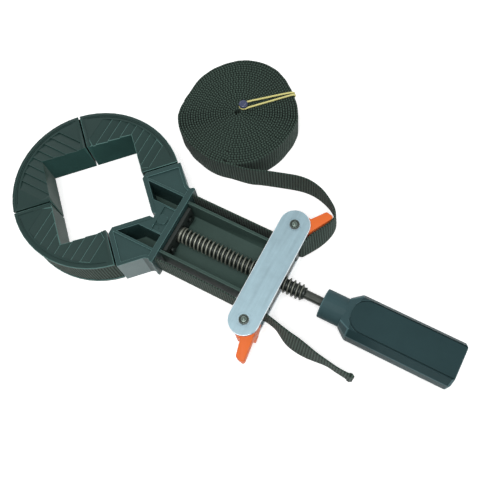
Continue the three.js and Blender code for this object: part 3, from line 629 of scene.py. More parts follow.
# Plan of the free run's lower edge, with the lean of the webbing in degrees at each point.
RUN_ROUTE = [Vector(p) for p in (
    (140.5, 26.8, 0), (142.5, 26.8, 0), (150.6, 26.9, 2), (153.6, 30.2, 5), (156.4, 34.5, 8),
    (159.3, 39.6, 8.5), (161.8, 45.6, 7), (163.3, 51.6, 4.5), (163.3, 57.4, 3.5), (161.3, 62.6, 5),
    (157.6, 66.9, 6.5), (152.4, 70.2, 6), (146.2, 72.6, 4), (139.4, 74.1, 2.5), (132.4, 74.3, 1),
    (125, 73.2, 0), (116.6, 71, 0), (107.6, 68.4, 0), (98.4, 65.6, 0), (89.6, 62.6, 0))]

# Plan of the free end's middle line, with its lean, then its tip's fold and how far it is lifted.
TAIL_ROUTE = [Vector(p) for p in (
    (140.5, -26.8, 0), (142.5, -26.8, 0), (150.6, -26.9, 0), (155, -27.6, 0), (159.5, -28.7, 1),
    (164.5, -30.6, 5), (171, -32.8, 10), (178.5, -34.1, 11), (185.5, -35, 8), (192.2, -35.5, 3),
    (200.6, -35.7, -2), (209, -36.7, -2.5), (215.5, -37.1, -1.5), (220.6, -37.3, -1.5))]
TAIL_FOLD = 5.5
TAIL_LIFT = 0.3

# The gap between one stretch of the band and the next.
STRETCH_GAP = 0.3

# The near side's lean towards the channel, between the head and the cam, in degrees.
SIDE_LEAN = 1.7
SIDE_LEAN_SHARE = 0.85

# The roll: middle, core radius, angle of the outer end, a layer's thickness, straight end, steps a turn.
ROLL_CENTRE = Vector((61.5, 101.5))
ROLL_CORE = 2.2
ROLL_JOIN = -0.84 * QUARTER
ROLL_THICKNESS = 1.58
ROLL_END = 2.5
ROLL_STEPS = 96

# How high the layers stand: their foot, and how far the inner and the uneven ones rise away from the tie.
ROLL_FOOT = 0.12
ROLL_UNEVEN_FOOT = 0.1
ROLL_INNER_RISE = 0.55
ROLL_UNEVEN_RISE = 0.5
ROLL_OUTER_LAYERS = 2.4
ROLL_TIE_ANGLE = math.radians(50)

# How far the roll's outer face lies from its centre, by the angle in degrees.
ROLL_SHAPE = ((-158, 44.6), (-149, 45.9), (-138, 46), (-125, 44.3), (-105, 43), (-88, 43.2), (-75, 43.8),
              (-52, 43.2), (-29, 42.5), (-7, 42.8), (10, 44.3), (18, 45.2), (29, 44.6), (44, 43.8),
              (56, 43.9), (66, 44.9), (80, 46.1), (92, 46.4), (107, 46.1), (118, 45.5), (125, 44.6),
              (141, 43.6), (157, 42.8), (180, 41.6), (194, 43))


def fold_thickness(share):
    """How thick the folded end is, against the webbing, at a share of the fold's length from the end."""
    if share < 0.8:
        return max(0.5, 0.25 + 2.4 * math.sin(math.pi * min(1, share * 1.15)))
    return 1 + (1 - share) * 1.2


def webbing(name, path, heights, leans=None, rib_steps=5, thickness=None, footed=False, folded_end=0):
    """A strip of ribbed webbing on its edge along a path in plan. heights are of its lower edge.

    leans gives the lean in degrees. A footed strip leans about its lower edge. folded_end is the length of
    the thick fold at the strip's end."""
    strap = bpy.context.scene.clamp_strap
    pitch = strap.rib_pitch / MM
    half_width = strap.width / MM / 2
    half_thick = (thickness or strap.thickness / MM) / 2
    stations = resample(path, pitch / rib_steps)
    total = stations[-1][1]
    face = [(-a, b, c) for a, b, c in WEBBING_EDGE_SHARES] + list(reversed(WEBBING_EDGE_SHARES))
    section = [(*spot, 1) for spot in face] + [(*spot, -1) for spot in reversed(face)]
    bm = bmesh.new()
    along = bm.verts.layers.float.new("along")
    across = bm.verts.layers.float.new("across")
    rings = []
    for i, (place, s) in enumerate(stations):
        ahead = heading(stations, i, 2)
        lean = math.radians(leans(s / total)) if leans else 0
        left = Vector((-ahead.y, ahead.x, 0))
        up = Vector((0, 0, 1)) * math.cos(lean) + left * math.sin(lean)
        through = left * math.cos(lean) - Vector((0, 0, 1)) * math.sin(lean)
        middle = Vector((*place, heights(s / total) + half_width * math.cos(lean)))
        if footed:
            middle += left * (half_width * math.sin(lean))
        groove = strap.rib_depth / MM * (0.5 - 0.5 * math.cos(FULL_TURN * s / pitch))
        fold = fold_thickness((total - s) / folded_end) if total - s < folded_end else 1
        row = []
        for wide, thick, ribbed, side in section:
            half = half_thick * thick * fold - groove * ribbed
            spot = middle + up * (wide * half_width) + through * (side * half)
            vert = bm.verts.new(at(*spot))
            vert[along] = s
            vert[across] = wide * half_width
            row.append(vert)
        rings.append(row)
    skin(bm, rings)
    piece = piece_from(bm, name, "Webbing")
    piece["length"] = total * MM
    return smooth_shaded(piece, 60)


def declare_webbing(node):
    """Hides the CAD node of the stretch that a webbing piece stands for."""
    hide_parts(node)


def loop_path():
    """Round the jaws: out of the head on the left, round a bend and the ring, and back in on the right."""
    bend_x = STRAP_RADIUS / DIAGONAL - STRAP_SIDE + STRAP_TURN_RADIUS * math.tan(EIGHTH / 2)
    bend_centre = (bend_x, STRAP_SIDE + STRAP_TURN_RADIUS)
    out = [Vector((HEAD_REAR - STRETCH_GAP, STRAP_SIDE)),
           *arc(STRAP_TURN_RADIUS, -QUARTER, -QUARTER - EIGHTH, 10, bend_centre)]
    return [*out, *arc(STRAP_RADIUS, EIGHTH, FULL_TURN - EIGHTH, 180), *mirrored(out)]


def inward_lean(share):
    """The near side's lean, in degrees: none at its two ends and even between them."""
    way = min(1, share / SIDE_LEAN_SHARE)
    return SIDE_LEAN * (1 - (2 * way - 1) ** 6)


def lean_along(route):
    """The lean at a share of a route's length, from the third coordinate of its points."""
    lengths = [0.0]
    for a, b in zip(route, route[1:]):
        lengths.append(lengths[-1] + (b - a).xy.length)

    def lean(share):
        reach = share * lengths[-1]
        k = max(i for i, s in enumerate(lengths[:-1]) if s <= reach + 1e-9)
        step = (reach - lengths[k]) / max(lengths[k + 1] - lengths[k], 1e-9)
        return route[k].z + (route[k + 1].z - route[k].z) * min(1, step)

    return lean


def roll_rim(angle):
    """The distance from the roll's centre to its outer face at an angle in radians."""
    first = ROLL_SHAPE[0][0]
    degrees = (math.degrees(angle) - first) % 360 + first
    spots = [*ROLL_SHAPE, (first + 360, ROLL_SHAPE[0][1])]
    for (low, here), (high, there) in zip(spots, spots[1:]):
        if degrees <= high:
            share = 0.5 - 0.5 * math.cos(math.pi * (degrees - low) / (high - low))
            return here + (there - here) * share
    return spots[-1][1]


def roll_path(loops, pitch):
    """The roll's spiral, pressed out of round as if wound by hand, and straight where the run meets it."""
    steps = loops * ROLL_STEPS
    full = ROLL_CORE + pitch * loops
    points = []
    for i in range(steps + 1):
        radius = ROLL_CORE + pitch * loops * i / steps
        angle = ROLL_JOIN - (1 - i / steps) * loops * FULL_TURN
        outermost = full - pitch * ((ROLL_JOIN - angle) / FULL_TURN % 1)
        pressed = (roll_rim(angle) - ROLL_THICKNESS / 2) / outermost - 1
        settled = min(1, (steps - i) / 10)
        points.append(polar(radius * (1 + pressed * settled * (radius / full) ** 1.5), angle, ROLL_CENTRE))
    points.append(points[-1] + (points[-1] - points[-2]).normalized() * ROLL_END)
    return points


class ClampAddBand(bpy.types.Operator):
    """Adds the band round the jaws and its two straight stretches beside the body"""
    bl_idname = "clamp.add_band"
    bl_label = "Band"

    def execute(self, context):
        loop = webbing("Band_loop", loop_path(), lambda t: STRAP_BASE)
        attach(loop, "clamp_body")
        declare_webbing("strap_loop")
        for side, word, lean in ((1, "left", None), (-1, "right", inward_lean)):
            path = [Vector((x, side * STRAP_SIDE)) for x in (HEAD_REAR, PIN_X - STRETCH_GAP)]
            piece = webbing(f"Band_side_{word}", path, lambda t: STRAP_BASE, lean, footed=True)
            declare_webbing(f"strap_side_{word}")
            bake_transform(piece)
        return {"FINISHED"}


class ClampAddRun(bpy.types.Operator):
    """Adds the free run of the band, from the left cam to the roll"""
    bl_idname = "clamp.add_run"
    bl_label = "Free run"

    def execute(self, context):
        strap = context.scene.clamp_strap
        roll = roll_path(strap.roll_loops, strap.roll_pitch / MM)
        arrival = roll[-1] + (roll[-1] - roll[-2]).normalized() * STRETCH_GAP
        route = catmull([*RUN_ROUTE, arrival.to_3d()])
        run = webbing("Band_run", [p.xy for p in route], lambda t: STRAP_BASE * (1 - t), lean_along(route),
                      footed=True)
        declare_webbing("strap_run")
        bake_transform(run)
        return {"FINISHED"}


class ClampAddTail(bpy.types.Operator):
    """Adds the free end of the band, behind the right cam"""
    bl_idname = "clamp.add_tail"
    bl_label = "Free end"

    def execute(self, context):
        route = catmull(TAIL_ROUTE, 16)
        tail = webbing("Band_free_end", [p.xy for p in route], lambda t: STRAP_BASE * (1 - t) + TAIL_LIFT,
                       lean_along(route), folded_end=TAIL_FOLD)
        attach(tail, "carriage")
        declare_webbing("strap_tail")
        return {"FINISHED"}


class ClampAddRoll(bpy.types.Operator):
    """Adds the spare band, wound into a roll"""
    bl_idname = "clamp.add_roll"
    bl_label = "Roll"

    def execute(self, context):
        strap = context.scene.clamp_strap
        loops = strap.roll_loops
        pitch = strap.roll_pitch / MM
        full = ROLL_CORE + pitch * loops

        def height(t):
            """The inner layers stand a little higher on the side away from the tie."""
            radius = math.sqrt(ROLL_CORE ** 2 + t * (full ** 2 - ROLL_CORE ** 2))
            loop = (radius - ROLL_CORE) / pitch
            angle = ROLL_JOIN - (loops - loop) * FULL_TURN
            inner = min(1, max(0, (loops - ROLL_OUTER_LAYERS - loop) / 1.2))
            away = 0.5 - 0.5 * math.cos(angle - ROLL_TIE_ANGLE)
            uneven = noise.noise(Vector((loop * 1.9, 3.1, 0)))
            rise = ROLL_INNER_RISE * inner + ROLL_UNEVEN_RISE * max(0, uneven)
            return ROLL_FOOT + away * rise + ROLL_UNEVEN_FOOT * uneven ** 2

        roll = webbing("Band_roll", roll_path(loops, pitch), height, rib_steps=4, thickness=ROLL_THICKNESS)
        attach(roll, "clamp_body")
        declare_webbing("strap_roll")
        return {"FINISHED"}


# Tie and button

TIE_RADIUS = 0.7
TIE_SIDES = 12
TIE_STEP = 0.45
TIE_ROUTE = [Vector(p) for p in (
    (83, 140.8, 1.4), (86.4, 138.8, 9), (89.5, 136.5, 17), (91.3, 134.9, 22.5), (91.3, 133.8, 25.2),
    (89.7, 132.3, 26.1), (85.8, 129.3, 26.2), (79.6, 124.3, 26.2), (73.5, 119.3, 26.2), (67.3, 114.3, 26.2),
    (63.7, 111.2, 26.2), (61.1, 109.4, 26.2), (60.2, 107.4, 26.2), (60.8, 105.4, 26.2), (62.8, 104.5, 26.2),
    (64.9, 105.2, 26.2), (67.2, 107.6, 26.2), (70.5, 110.8, 26.2), (76.2, 116.3, 26.2), (81.9, 121.8, 26.2),
    (87.6, 127.3, 26.2), (91.2, 130.8, 26.1), (92.7, 132.4, 25.2), (92.8, 133.6, 22.5), (91.1, 135.2, 17),
    (88, 137.6, 9), (84.7, 139.8, 1.4))]

# The button's heights and radii, from its stem to the middle of its crown.
BUTTON_PROFILE = ((25.35, 0), (25.35, 2.2), (25.7, 1.9), (27.3, 1.85), (27.45, 2.2), (27.5, 3.2),
                  (27.7, 3.45), (28.1, 3.5), (28.7, 3.3), (29.2, 2.85), (29.45, 2.3), (29.4, 1.8),
                  (29.2, 1.3), (29.12, 0.7), (29.1, 0))
BUTTON_PLACE = (63, 107.3)


class ClampAddTie(bpy.types.Operator):
    """Adds the elastic tie, from the roll's foot over its rim and round the button"""
    bl_idname = "clamp.add_tie"
    bl_label = "Elastic tie"

    def execute(self, context):
        stations = resample(catmull(TIE_ROUTE, 16), TIE_STEP)
        bm = bmesh.new()
        along = bm.verts.layers.float.new("along")
        around = bm.verts.layers.float.new("around")
        across = Vector((0.68, -0.73, 0))
        rings = []
        for i, (place, s) in enumerate(stations):
            ahead = heading(stations, i, 1)
            across = (across - ahead * across.dot(ahead)).normalized()
            other = ahead.cross(across)
            row = []
            for k in range(TIE_SIDES):
                angle = FULL_TURN * k / TIE_SIDES
                spot = place + (across * math.cos(angle) + other * math.sin(angle)) * TIE_RADIUS
                vert = bm.verts.new(at(*spot))
                vert[along] = s
                vert[around] = angle
                row.append(vert)
            rings.append(row)
        skin(bm, rings)
        tie = smooth_shaded(piece_from(bm, "Elastic_tie", "Elastic"), 50)
        stands_for(tie, "elastic_tie", "clamp_body")
        return {"FINISHED"}


class ClampAddButton(bpy.types.Operator):
    """Adds the button that holds the elastic on the roll"""
    bl_idname = "clamp.add_button"
    bl_label = "Button"

    def execute(self, context):
        button = turned_piece("Button_on_roll", BUTTON_PROFILE, *BUTTON_PLACE, "Button plastic")
        stands_for(button, "roll_button", "clamp_body")
        return {"FINISHED"}


# Jaws and body

# The gap at a jaw's ends, the widths of its rim and of the line inside it, and its panel's depth.
JAW_GAP = 0.6
RIM = 2.4
LINE = 0.5
PANEL_DEPTH = 0.45

# The panel's open side ends at these distances along the jaw's middle line.
MOUTH_MIDDLE = 36.5
MOUTH_END = 18

# The line inside the rim: how far in it starts, and half its sweep.
RIM_LINE_INSET = 0.9
RIM_LINE_SWEEP = 0.69

# The saw-tooth bands: how many beside the middle, their width, the top, the step, and where they end.
BANDS_BESIDE = 4
BAND_PITCH = 6.5
BAND_TOP = TOP - 0.6
BAND_FOOT = BAND_TOP - 1.1
BAND_INNER = 46.4
BAND_SIDE_GAP = 5
BAND_OUTER = RING_RADIUS - 5.2

# The square opening's walls lie within these distances from the ring's centre.
OPENING_RADIUS = 58
OPENING_REACH = 60


def saw_tooth(borders, turn, flip):
    """A cutter whose underside is a row of slanting bands, each with a step down to the next.

    borders gives, for each line between two bands, its distance beside the jaw's middle line and the
    distances along that line at which it starts and ends."""
    last = len(borders) - 1
    bm = bmesh.new()

    def corners(border, height):
        beside, inner, outer = border
        return [bm.verts.new(at(*turned(ahead, beside, turn), height)) for ahead in (inner, outer)]

    lids = [corners(border, ABOVE) for border in borders]
    starts = []
    ends = []
    for i, border in enumerate(borders):
        starts.append(corners(border, BAND_TOP if flip > 0 else BAND_FOOT) if i < last else None)
        ends.append(corners(border, BAND_FOOT if flip > 0 else BAND_TOP) if i else None)
    for i in range(last):
        bm.faces.new((*starts[i], *reversed(ends[i + 1])))
        bm.faces.new((lids[i][0], lids[i + 1][0], lids[i + 1][1], lids[i][1]))
        for side in (0, 1):
            wall = [lids[i][side], starts[i][side], ends[i + 1][side], lids[i + 1][side]]
            if flip < 0 and i:
                wall.insert(1, ends[i][side])
            if flip > 0 and i < last - 1:
                wall.insert(3, starts[i + 1][side])
            bm.faces.new(wall)
    for i in range(1, last):
        bm.faces.new((*starts[i], *reversed(ends[i])))
    bm.faces.new((*lids[0], *reversed(starts[0])))
    bm.faces.new((*lids[-1], *reversed(ends[-1])))
    return piece_from(bm, "bands", "Jaw plastic")


def jaw_panel(turn):
    """The panel's outline: inside the rim and the jaw's two ends, and open at the inner edge."""
    radius = RING_RADIUS - RIM
    gap = (JAW_GAP + RIM) / DIAGONAL
    reach = math.asin((math.sqrt(2 * radius * radius - gap * gap) - gap) / 2 / radius)
    outline = [(MOUTH_MIDDLE, 0), (MOUTH_END, gap - MOUTH_END), *arc(radius, -reach, reach, 28),
               (MOUTH_END, MOUTH_END - gap)]
    return [turned(ahead, beside, turn) for ahead, beside in outline]


def jaw_cutters(turn, flip):
    """The sunk panel on a jaw's top, the line round it, and its saw-tooth bands."""
    panel = prism("panel", jaw_panel(turn), TOP - PANEL_DEPTH, ABOVE, "Jaw plastic")
    outer = RING_RADIUS - RIM - RIM_LINE_INSET
    sweep = RIM_LINE_SWEEP - 0.01
    ring = [*arc(outer, turn - RIM_LINE_SWEEP, turn + RIM_LINE_SWEEP, 28),
            *arc(outer - LINE, turn + sweep, turn - sweep, 28)]
    line = prism("line", ring, TOP - PANEL_DEPTH - LINE, ABOVE, "Jaw plastic")
    borders = []
    for k in range(-BANDS_BESIDE, BANDS_BESIDE + 1):
        beside = k * BAND_PITCH
        inner = max(BAND_INNER - abs(beside), abs(beside) + BAND_SIDE_GAP)
        borders.append((beside, inner, math.sqrt(BAND_OUTER ** 2 - beside ** 2)))
    return [panel, line, saw_tooth(borders, turn, flip)]


def inner_wall(x, y, z, normal):
    """The walls round the square opening, which are painted lighter than the jaw, as light."""
    inside = math.hypot(x, y) < OPENING_RADIUS and abs(x) + abs(y) < OPENING_REACH
    return inside and abs(normal.z) < 0.3 and z > 0.5


# Walls of the opening that face +X and +Y get the lighter floor colour, as painted light.
def lit_inner_wall(x, y, z, normal):
    return inner_wall(x, y, z, normal) and min(normal.x, normal.y) > 0.5


class ClampAddJaws(bpy.types.Operator):
    """Adds the three loose corner jaws, with rimmed tops and saw-tooth bands"""
    bl_idname = "clamp.add_jaws"
    bl_label = "Corner jaws"

    def execute(self, context):
        for word, turn, flip in (("left", QUARTER, -1), ("far", math.pi, -1), ("right", -QUARTER, 1)):
            # The left and right jaws get a stronger painted edge highlight and a wider rounding, for the
            # light lines on their bands.
            finish, rounding = ("Jaw plastic", 0.55) if word == "far" else ("Worn jaw plastic", 1)
            jaw = cad_copy(f"corner_jaw_{word}", f"Corner_jaw_{word}_moulded", finish)
            carve(jaw, jaw_cutters(turn, flip))
            rounded_edges(jaw, context.scene.clamp_plastic.bevel * rounding)
            recolored(jaw, "Inner plastic", inner_wall)
            recolored(jaw, "Floor plastic", lit_inner_wall)
            stands_for(jaw, f"corner_jaw_{word}", "clamp_body")
        return {"FINISHED"}


# The rails' double lines, the line across each notch, and the half ring on the boss.
RAIL_SIDE = 20.3
RAIL_START = 66
RAIL_END = 148
RAIL_LINE_BASE = 26.9
RAIL_LINE_TOP = 29
RAIL_LINE_GAP = 0.28
RAIL_LINE_HALF = 0.11
NOTCH_LINE = ((48.9, 2.6), (49.3, 2.6), (30.4, 21.5), (30, 21.5))
NOTCH_LINE_DEPTH = 0.35
HALF_RING = (54.5, -7)
HALF_RING_OUTER = 2.4
HALF_RING_INNER = 1.9
HALF_RING_START = -0.3
HALF_RING_END = math.pi + 0.3
HALF_RING_BASE = 28.3

# The guards: how far from the middle they start, and their length before the head's rear wall.
GUARD_SIDE = 31
GUARD_LENGTH = 19

# The sunk floors lie below this height. The rails lie past this distance from the middle and this height.
# Both get the lighter floor colour as painted light.
FLOOR_BELOW = 20
RAIL_INNER = 18
RAIL_ABOVE = 26


def body_lines():
    """The cutters for the lines on the head and the rails."""
    tools = []
    for side in (1, -1):
        for offset in (-RAIL_LINE_GAP, RAIL_LINE_GAP):
            low = RAIL_SIDE * side + offset - RAIL_LINE_HALF
            high = RAIL_SIDE * side + offset + RAIL_LINE_HALF
            line = [(RAIL_START, low), (RAIL_END, low), (RAIL_END, high), (RAIL_START, high)]
            tools.append(prism("rail line", line, RAIL_LINE_BASE, RAIL_LINE_TOP, "Body plastic"))
        notch = [(x, side * y) for x, y in NOTCH_LINE][::side]
        tools.append(prism("notch line", notch, TOP - NOTCH_LINE_DEPTH, ABOVE, "Body plastic"))
    half_ring = [*arc(HALF_RING_OUTER, HALF_RING_START, HALF_RING_END, 14, HALF_RING),
                 *arc(HALF_RING_INNER, HALF_RING_END, HALF_RING_START, 14, HALF_RING)]
    tools.append(prism("half ring", half_ring, HALF_RING_BASE, ABOVE, "Body plastic"))
    return tools


def outer_guard(x, y, z, normal):
    """The smooth guards where the band leaves the ring, painted light grey as a reflection of the bright
    surroundings.
    """
    beside = HEAD_REAR - GUARD_LENGTH < x < HEAD_REAR + 1 and abs(y) > GUARD_SIDE
    return beside and abs(normal.z) < 0.5 and normal.y * y > 0


def sunk_floor(x, y, z, normal):
    return normal.z > 0.7 and z < FLOOR_BELOW


def rail_top(x, y, z, normal):
    return x > HEAD_REAR + 0.5 and abs(y) > RAIL_INNER and (z > RAIL_ABOVE or abs(normal.y) > 0.7)


class ClampAddBody(bpy.types.Operator):
    """Adds the head and the channel, with the lines along their rims and rails"""
    bl_idname = "clamp.add_body"
    bl_label = "Head and channel"

    def execute(self, context):
        body = cad_copy("body_frame", "Head_and_channel", "Body plastic")
        carve(body, body_lines())
        rounded_edges(body, context.scene.clamp_plastic.bevel * 0.55)
        recolored(body, "Guard plastic", outer_guard)
        # The sunk floors and the rails get the lighter floor colour, as painted light.
        recolored(body, "Floor plastic", lambda *face: sunk_floor(*face) or rail_top(*face))
        stands_for(body, "body_frame", "clamp_body")
        return {"FINISHED"}


# Screw and handle

JOURNAL_RADIUS = 3.5
JOURNAL_LENGTH = 9
THRUST_RADIUS = 8
THRUST_LENGTH = 2.4
CORE_RADIUS = 5.9
RUN_OUT_RADIUS = 4.2
THREAD_START = 69.3
THREAD_END = 167
THREAD_STEP = 0.2
NECK_RADIUS = 3.45
NECK_FLAT = 3.05
SPINDLE_SIDES = 36

# The thread's crest and flank as shares of half its pitch, the lengths over which it starts and ends,
# how much the crests' painted highlight fades towards the handle, and how far the plain stretches are painted
# towards the light colour.
THREAD_CREST = 0.16
THREAD_FLANK = 0.56
THREAD_RUN_IN = 1.6
THREAD_RUN_OUT = 2.4
THREAD_DULLING = 0.6
PLAIN_TONE = 0.08


def thread_radius(distance, angle, settings):
    """Radius of the right-hand thread at a distance along it and an angle round it."""
    turns = distance / (settings.thread_pitch / MM) - angle / FULL_TURN
    rise = abs(2 * (turns - math.floor(turns)) - 1)
    share = min(1, max(0, (rise - THREAD_CREST) / THREAD_FLANK))
    return settings.thread_radius / MM - settings.thread_depth / MM * share * share * (3 - 2 * share)


def neck_radius(angle):
    """A round neck with four flats."""
    flat = abs((angle + EIGHTH) % QUARTER - EIGHTH)
    return min(NECK_RADIUS, NECK_FLAT / math.cos(flat))


class ClampAddSpindle(bpy.types.Operator):
    """Adds the threaded spindle, with its journal, collar and squared neck"""
    bl_idname = "clamp.add_spindle"
    bl_label = "Spindle"

    def execute(self, context):
        metal = context.scene.clamp_metal
        crest = metal.thread_radius / MM
        depth = metal.thread_depth / MM
        low, high = ((corner.x - RING_X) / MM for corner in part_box("spindle"))
        bm = bmesh.new()
        tone = bm.verts.layers.float.new("tone")
        rows = []

        def row(x, radius_at, worn=None):
            """A ring of vertices. highlit is how strong the painted highlight on the thread's crest is there.
            """
            ring = []
            for k in range(SPINDLE_SIDES):
                angle = FULL_TURN * k / SPINDLE_SIDES
                radius = radius_at(angle)
                height = 1 - (crest - radius) / depth
                vert = bm.verts.new(at(x, radius * math.cos(angle), AXIS + radius * math.sin(angle)))
                # Only the outer part of each crest is painted towards the light colour, as a highlight.
                vert[tone] = PLAIN_TONE if worn is None else max(0, height * 1.7 - 0.7) * worn
                ring.append(vert)
            rows.append(ring)

        thrust = low + JOURNAL_LENGTH
        thrust_end = thrust + THRUST_LENGTH
        plain = ((low, JOURNAL_RADIUS - 0.3), (low + 0.3, JOURNAL_RADIUS), (thrust, JOURNAL_RADIUS),
                 (thrust, THRUST_RADIUS - 0.2), (thrust + 0.2, THRUST_RADIUS),
                 (thrust_end - 0.2, THRUST_RADIUS), (thrust_end, THRUST_RADIUS - 0.2),
                 (thrust_end, CORE_RADIUS), (THREAD_START - 0.6, CORE_RADIUS))
        for x, radius in plain:
            row(x, lambda angle: radius)
        length = THREAD_END - THREAD_START
        steps = round(length / THREAD_STEP)
        for i in range(steps + 1):
            distance = length * i / steps
            run_in = min(1, distance / THREAD_RUN_IN)
            run_out = min(1, (length - distance) / THREAD_RUN_OUT)

            def radius_at(angle):
                full = thread_radius(distance, angle, metal)
                cut = RUN_OUT_RADIUS + (full - RUN_OUT_RADIUS) * (0.25 + 0.75 * run_out)
                return CORE_RADIUS + (cut - CORE_RADIUS) * run_in

            row(THREAD_START + distance, radius_at, 1 - THREAD_DULLING * distance / length)
        row(THREAD_END + 0.5, lambda angle: JOURNAL_RADIUS)
        row(THREAD_END + 0.8, neck_radius)
        row(high - 0.3, neck_radius)
        row(high, lambda angle: neck_radius(angle) - 0.3)
        skin(bm, rows)
        spindle = smooth_shaded(piece_from(bm, "Threaded_spindle", "Thread steel"), 32)
        stands_for(spindle, "spindle", "screw")
        return {"FINISHED"}


# The groove round the grip's raised panel: its nose, its radius and width, its foot, and the grip's end.
PANEL_NOSE = (212, 0)
PANEL_RADIUS = 11
PANEL_GROOVE = 0.8
PANEL_FOOT = 28.2
PANEL_END = 275.6

COLLAR_END = 188
COLLAR_FILLET_END = 200
SHOULDER_END = 225

# Radii of the grip's rounded edges, in metres: the wide ones first, then the sharper ones that are left.
GRIP_BEVEL = 0.0007
GRIP_EDGE_BEVEL = 0.00028


def panel_edge(radius):
    """The raised panel's outline at a radius round its nose, open towards the grip's end."""
    return [Vector((PANEL_END, radius)), *arc(radius, QUARTER, 3 * QUARTER, 24, PANEL_NOSE),
            Vector((PANEL_END, -radius))]


# The collar, its fillet and the shoulder's faces that turn towards -X get the lighter collar colour, as
# painted light.
def collar_and_shoulder(x, y, z, normal):
    fillet = x < COLLAR_FILLET_END and abs(normal.x) < 0.1
    return x < COLLAR_END or fillet or (x < SHOULDER_END and normal.x < -0.1)


class ClampAddHandle(bpy.types.Operator):
    """Adds the handle: collar, shoulder and bevelled grip with a raised panel"""
    bl_idname = "clamp.add_handle"
    bl_label = "Handle"

    def execute(self, context):
        grip = cad_copy("handle", "Handle_grip", "Handle plastic")
        edges = [*panel_edge(PANEL_RADIUS + PANEL_GROOVE), *reversed(panel_edge(PANEL_RADIUS))]
        carve(grip, [prism("groove", edges, PANEL_FOOT, ABOVE, "Handle plastic")])
        rounded_edges(grip, GRIP_BEVEL, 3, 18)
        rounded_edges(grip, GRIP_EDGE_BEVEL, 2, 40)
        # The collar and shoulder get the lighter collar colour, as painted light.
        recolored(grip, "Collar plastic", collar_and_shoulder)
        stands_for(grip, "handle", "screw")
        return {"FINISHED"}


# Bearing and carriage

# Each ring is sunk into the top plate round a pin.
HALO_OUTER = 5.1
HALO_INNER = 4.4
HALO_DEPTH = 0.2

# The pin's heights and radii, with the tone that paints highlights on its rolled head.
PIN_PROFILE = ((0.3, 0), (0.3, 4.1), (0.4, 4.2), (1.0, 4.2), (1.1, 4.1), (1.1, 2.9), (30.3, 2.9), (30.3, 3.3),
               (30.45, 3.4), (31.1, 3.4), (31.35, 3.2, 0.35), (31.45, 2.85, 0.3), (31.35, 2.5), (30.95, 2.3),
               (30.8, 2.05, 0.2), (30.85, 1.7, 0.8), (30.95, 1.1, 0.55), (31.15, 0.8, 0.3), (31.2, 0.4, 1.2),
               (31.22, 0, 1.2))

# The lever's heights, each with how far its outline stands out there, with a groove under the top.
LEVER_LEVELS = ((2.5, -0.5), (3, -0.05), (24.6, -0.05), (24.6, -0.7), (25.8, -0.7), (25.8, -0.05),
                (27.05, -0.05), (27.35, -0.2), (27.5, -0.5))

# The pin's hole, where the arm starts, its underside's height, and the room cut away below it.
LEVER_HOLE = 3.2
ARM_START = 9.6
ARM_BASE = 17.5
ARM_ROOM = (31, 12)
LEFT_ANGLE = math.radians(45)
RIGHT_ANGLE = math.radians(-68.4)

# Radii of the rounded metal edges, in metres.
THIN_BEVEL = 0.00015
METAL_BEVEL = 0.00025
BLOCK_BEVEL = 0.0003
PLATE_BEVEL = 0.0004


def dress(node, name, material, body, bevel=METAL_BEVEL, segments=2, tools=()):
    """A CAD piece of metal with rounded edges and its own finish."""
    piece = cad_copy(node, name, material)
    if tools:
        carve(piece, tools)
    rounded_edges(piece, bevel, segments)
    stands_for(piece, node, body)


class ClampAddBearing(bpy.types.Operator):
    """Adds the bearing plate, its two screws and the thrust washer"""
    bl_idname = "clamp.add_bearing"
    bl_label = "Bearing"

    def execute(self, context):
        dress("bearing_plate", "Bearing_plate_steel", "Bearing steel", "clamp_body")
        dress("thrust_washer", "Thrust_washer_brass", "Brass", "clamp_body", THIN_BEVEL)
        for word in ("left", "right"):
            dress(f"bearing_screw_{word}", f"Bearing_screw_{word}_steel", "Rivet steel",
                  "clamp_body", THIN_BEVEL)
        return {"FINISHED"}


class ClampAddCarriage(bpy.types.Operator):
    """Adds the carriage: two plates, the sliding block, its nut and the two anvils"""
    bl_idname = "clamp.add_carriage"
    bl_label = "Carriage"

    def execute(self, context):
        halo_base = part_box("carriage_top_plate")[1].z / MM - HALO_DEPTH
        sweep = FULL_TURN - 0.01
        halos = []
        for side in (1, -1):
            middle = (PIN_X, side * PIN_Y)
            ring = [*arc(HALO_OUTER, 0, sweep, 40, middle), *arc(HALO_INNER, sweep, 0, 40, middle)]
            halos.append(prism("halo", ring, halo_base, ABOVE, "Plated steel"))
        for word, tools in (("top", halos), ("bottom", ())):
            dress(f"carriage_{word}_plate", f"Carriage_{word}_plate_steel", "Plated steel",
                  "carriage", PLATE_BEVEL, 3, tools)
        dress("carriage_block", "Carriage_block_steel", "Blackened steel",
              "carriage", BLOCK_BEVEL)
        dress("carriage_nut", "Carriage_nut_brass", "Brass", "carriage", BLOCK_BEVEL)
        for word in ("left", "right"):
            dress(f"strap_anvil_{word}", f"Strap_anvil_{word}_steel", "Blackened steel",
                  "carriage", BLOCK_BEVEL)
        return {"FINISHED"}


def lever_outline():
    """A lever in plan, with its pin at the origin and its tip along +X, for the left side."""
    bite = -QUARTER - EIGHTH
    cam = [polar(9.6 - 2.4 * i / 24, bite - QUARTER * i / 24) for i in range(25)]
    front = (Vector((5.8, -8.6)), polar(10.2, bite + QUARTER / 3))
    back = (polar(7.2, QUARTER + EIGHTH), polar(8.25, QUARTER), Vector((9.3, 5.3)), Vector((12.4, 1.4)))
    tip = ((23.2, 2.85), (24.2, 2.85), (25, 2.3), (25.9, 0.9), (26.8, -0.5), (27.2, -1.4), (27.1, -2.1),
           (26.5, -2.8), (25.5, -3.25), (24.3, -3.6))
    return list(reversed([*front, *cam, *back, *(Vector(p) for p in tip)]))


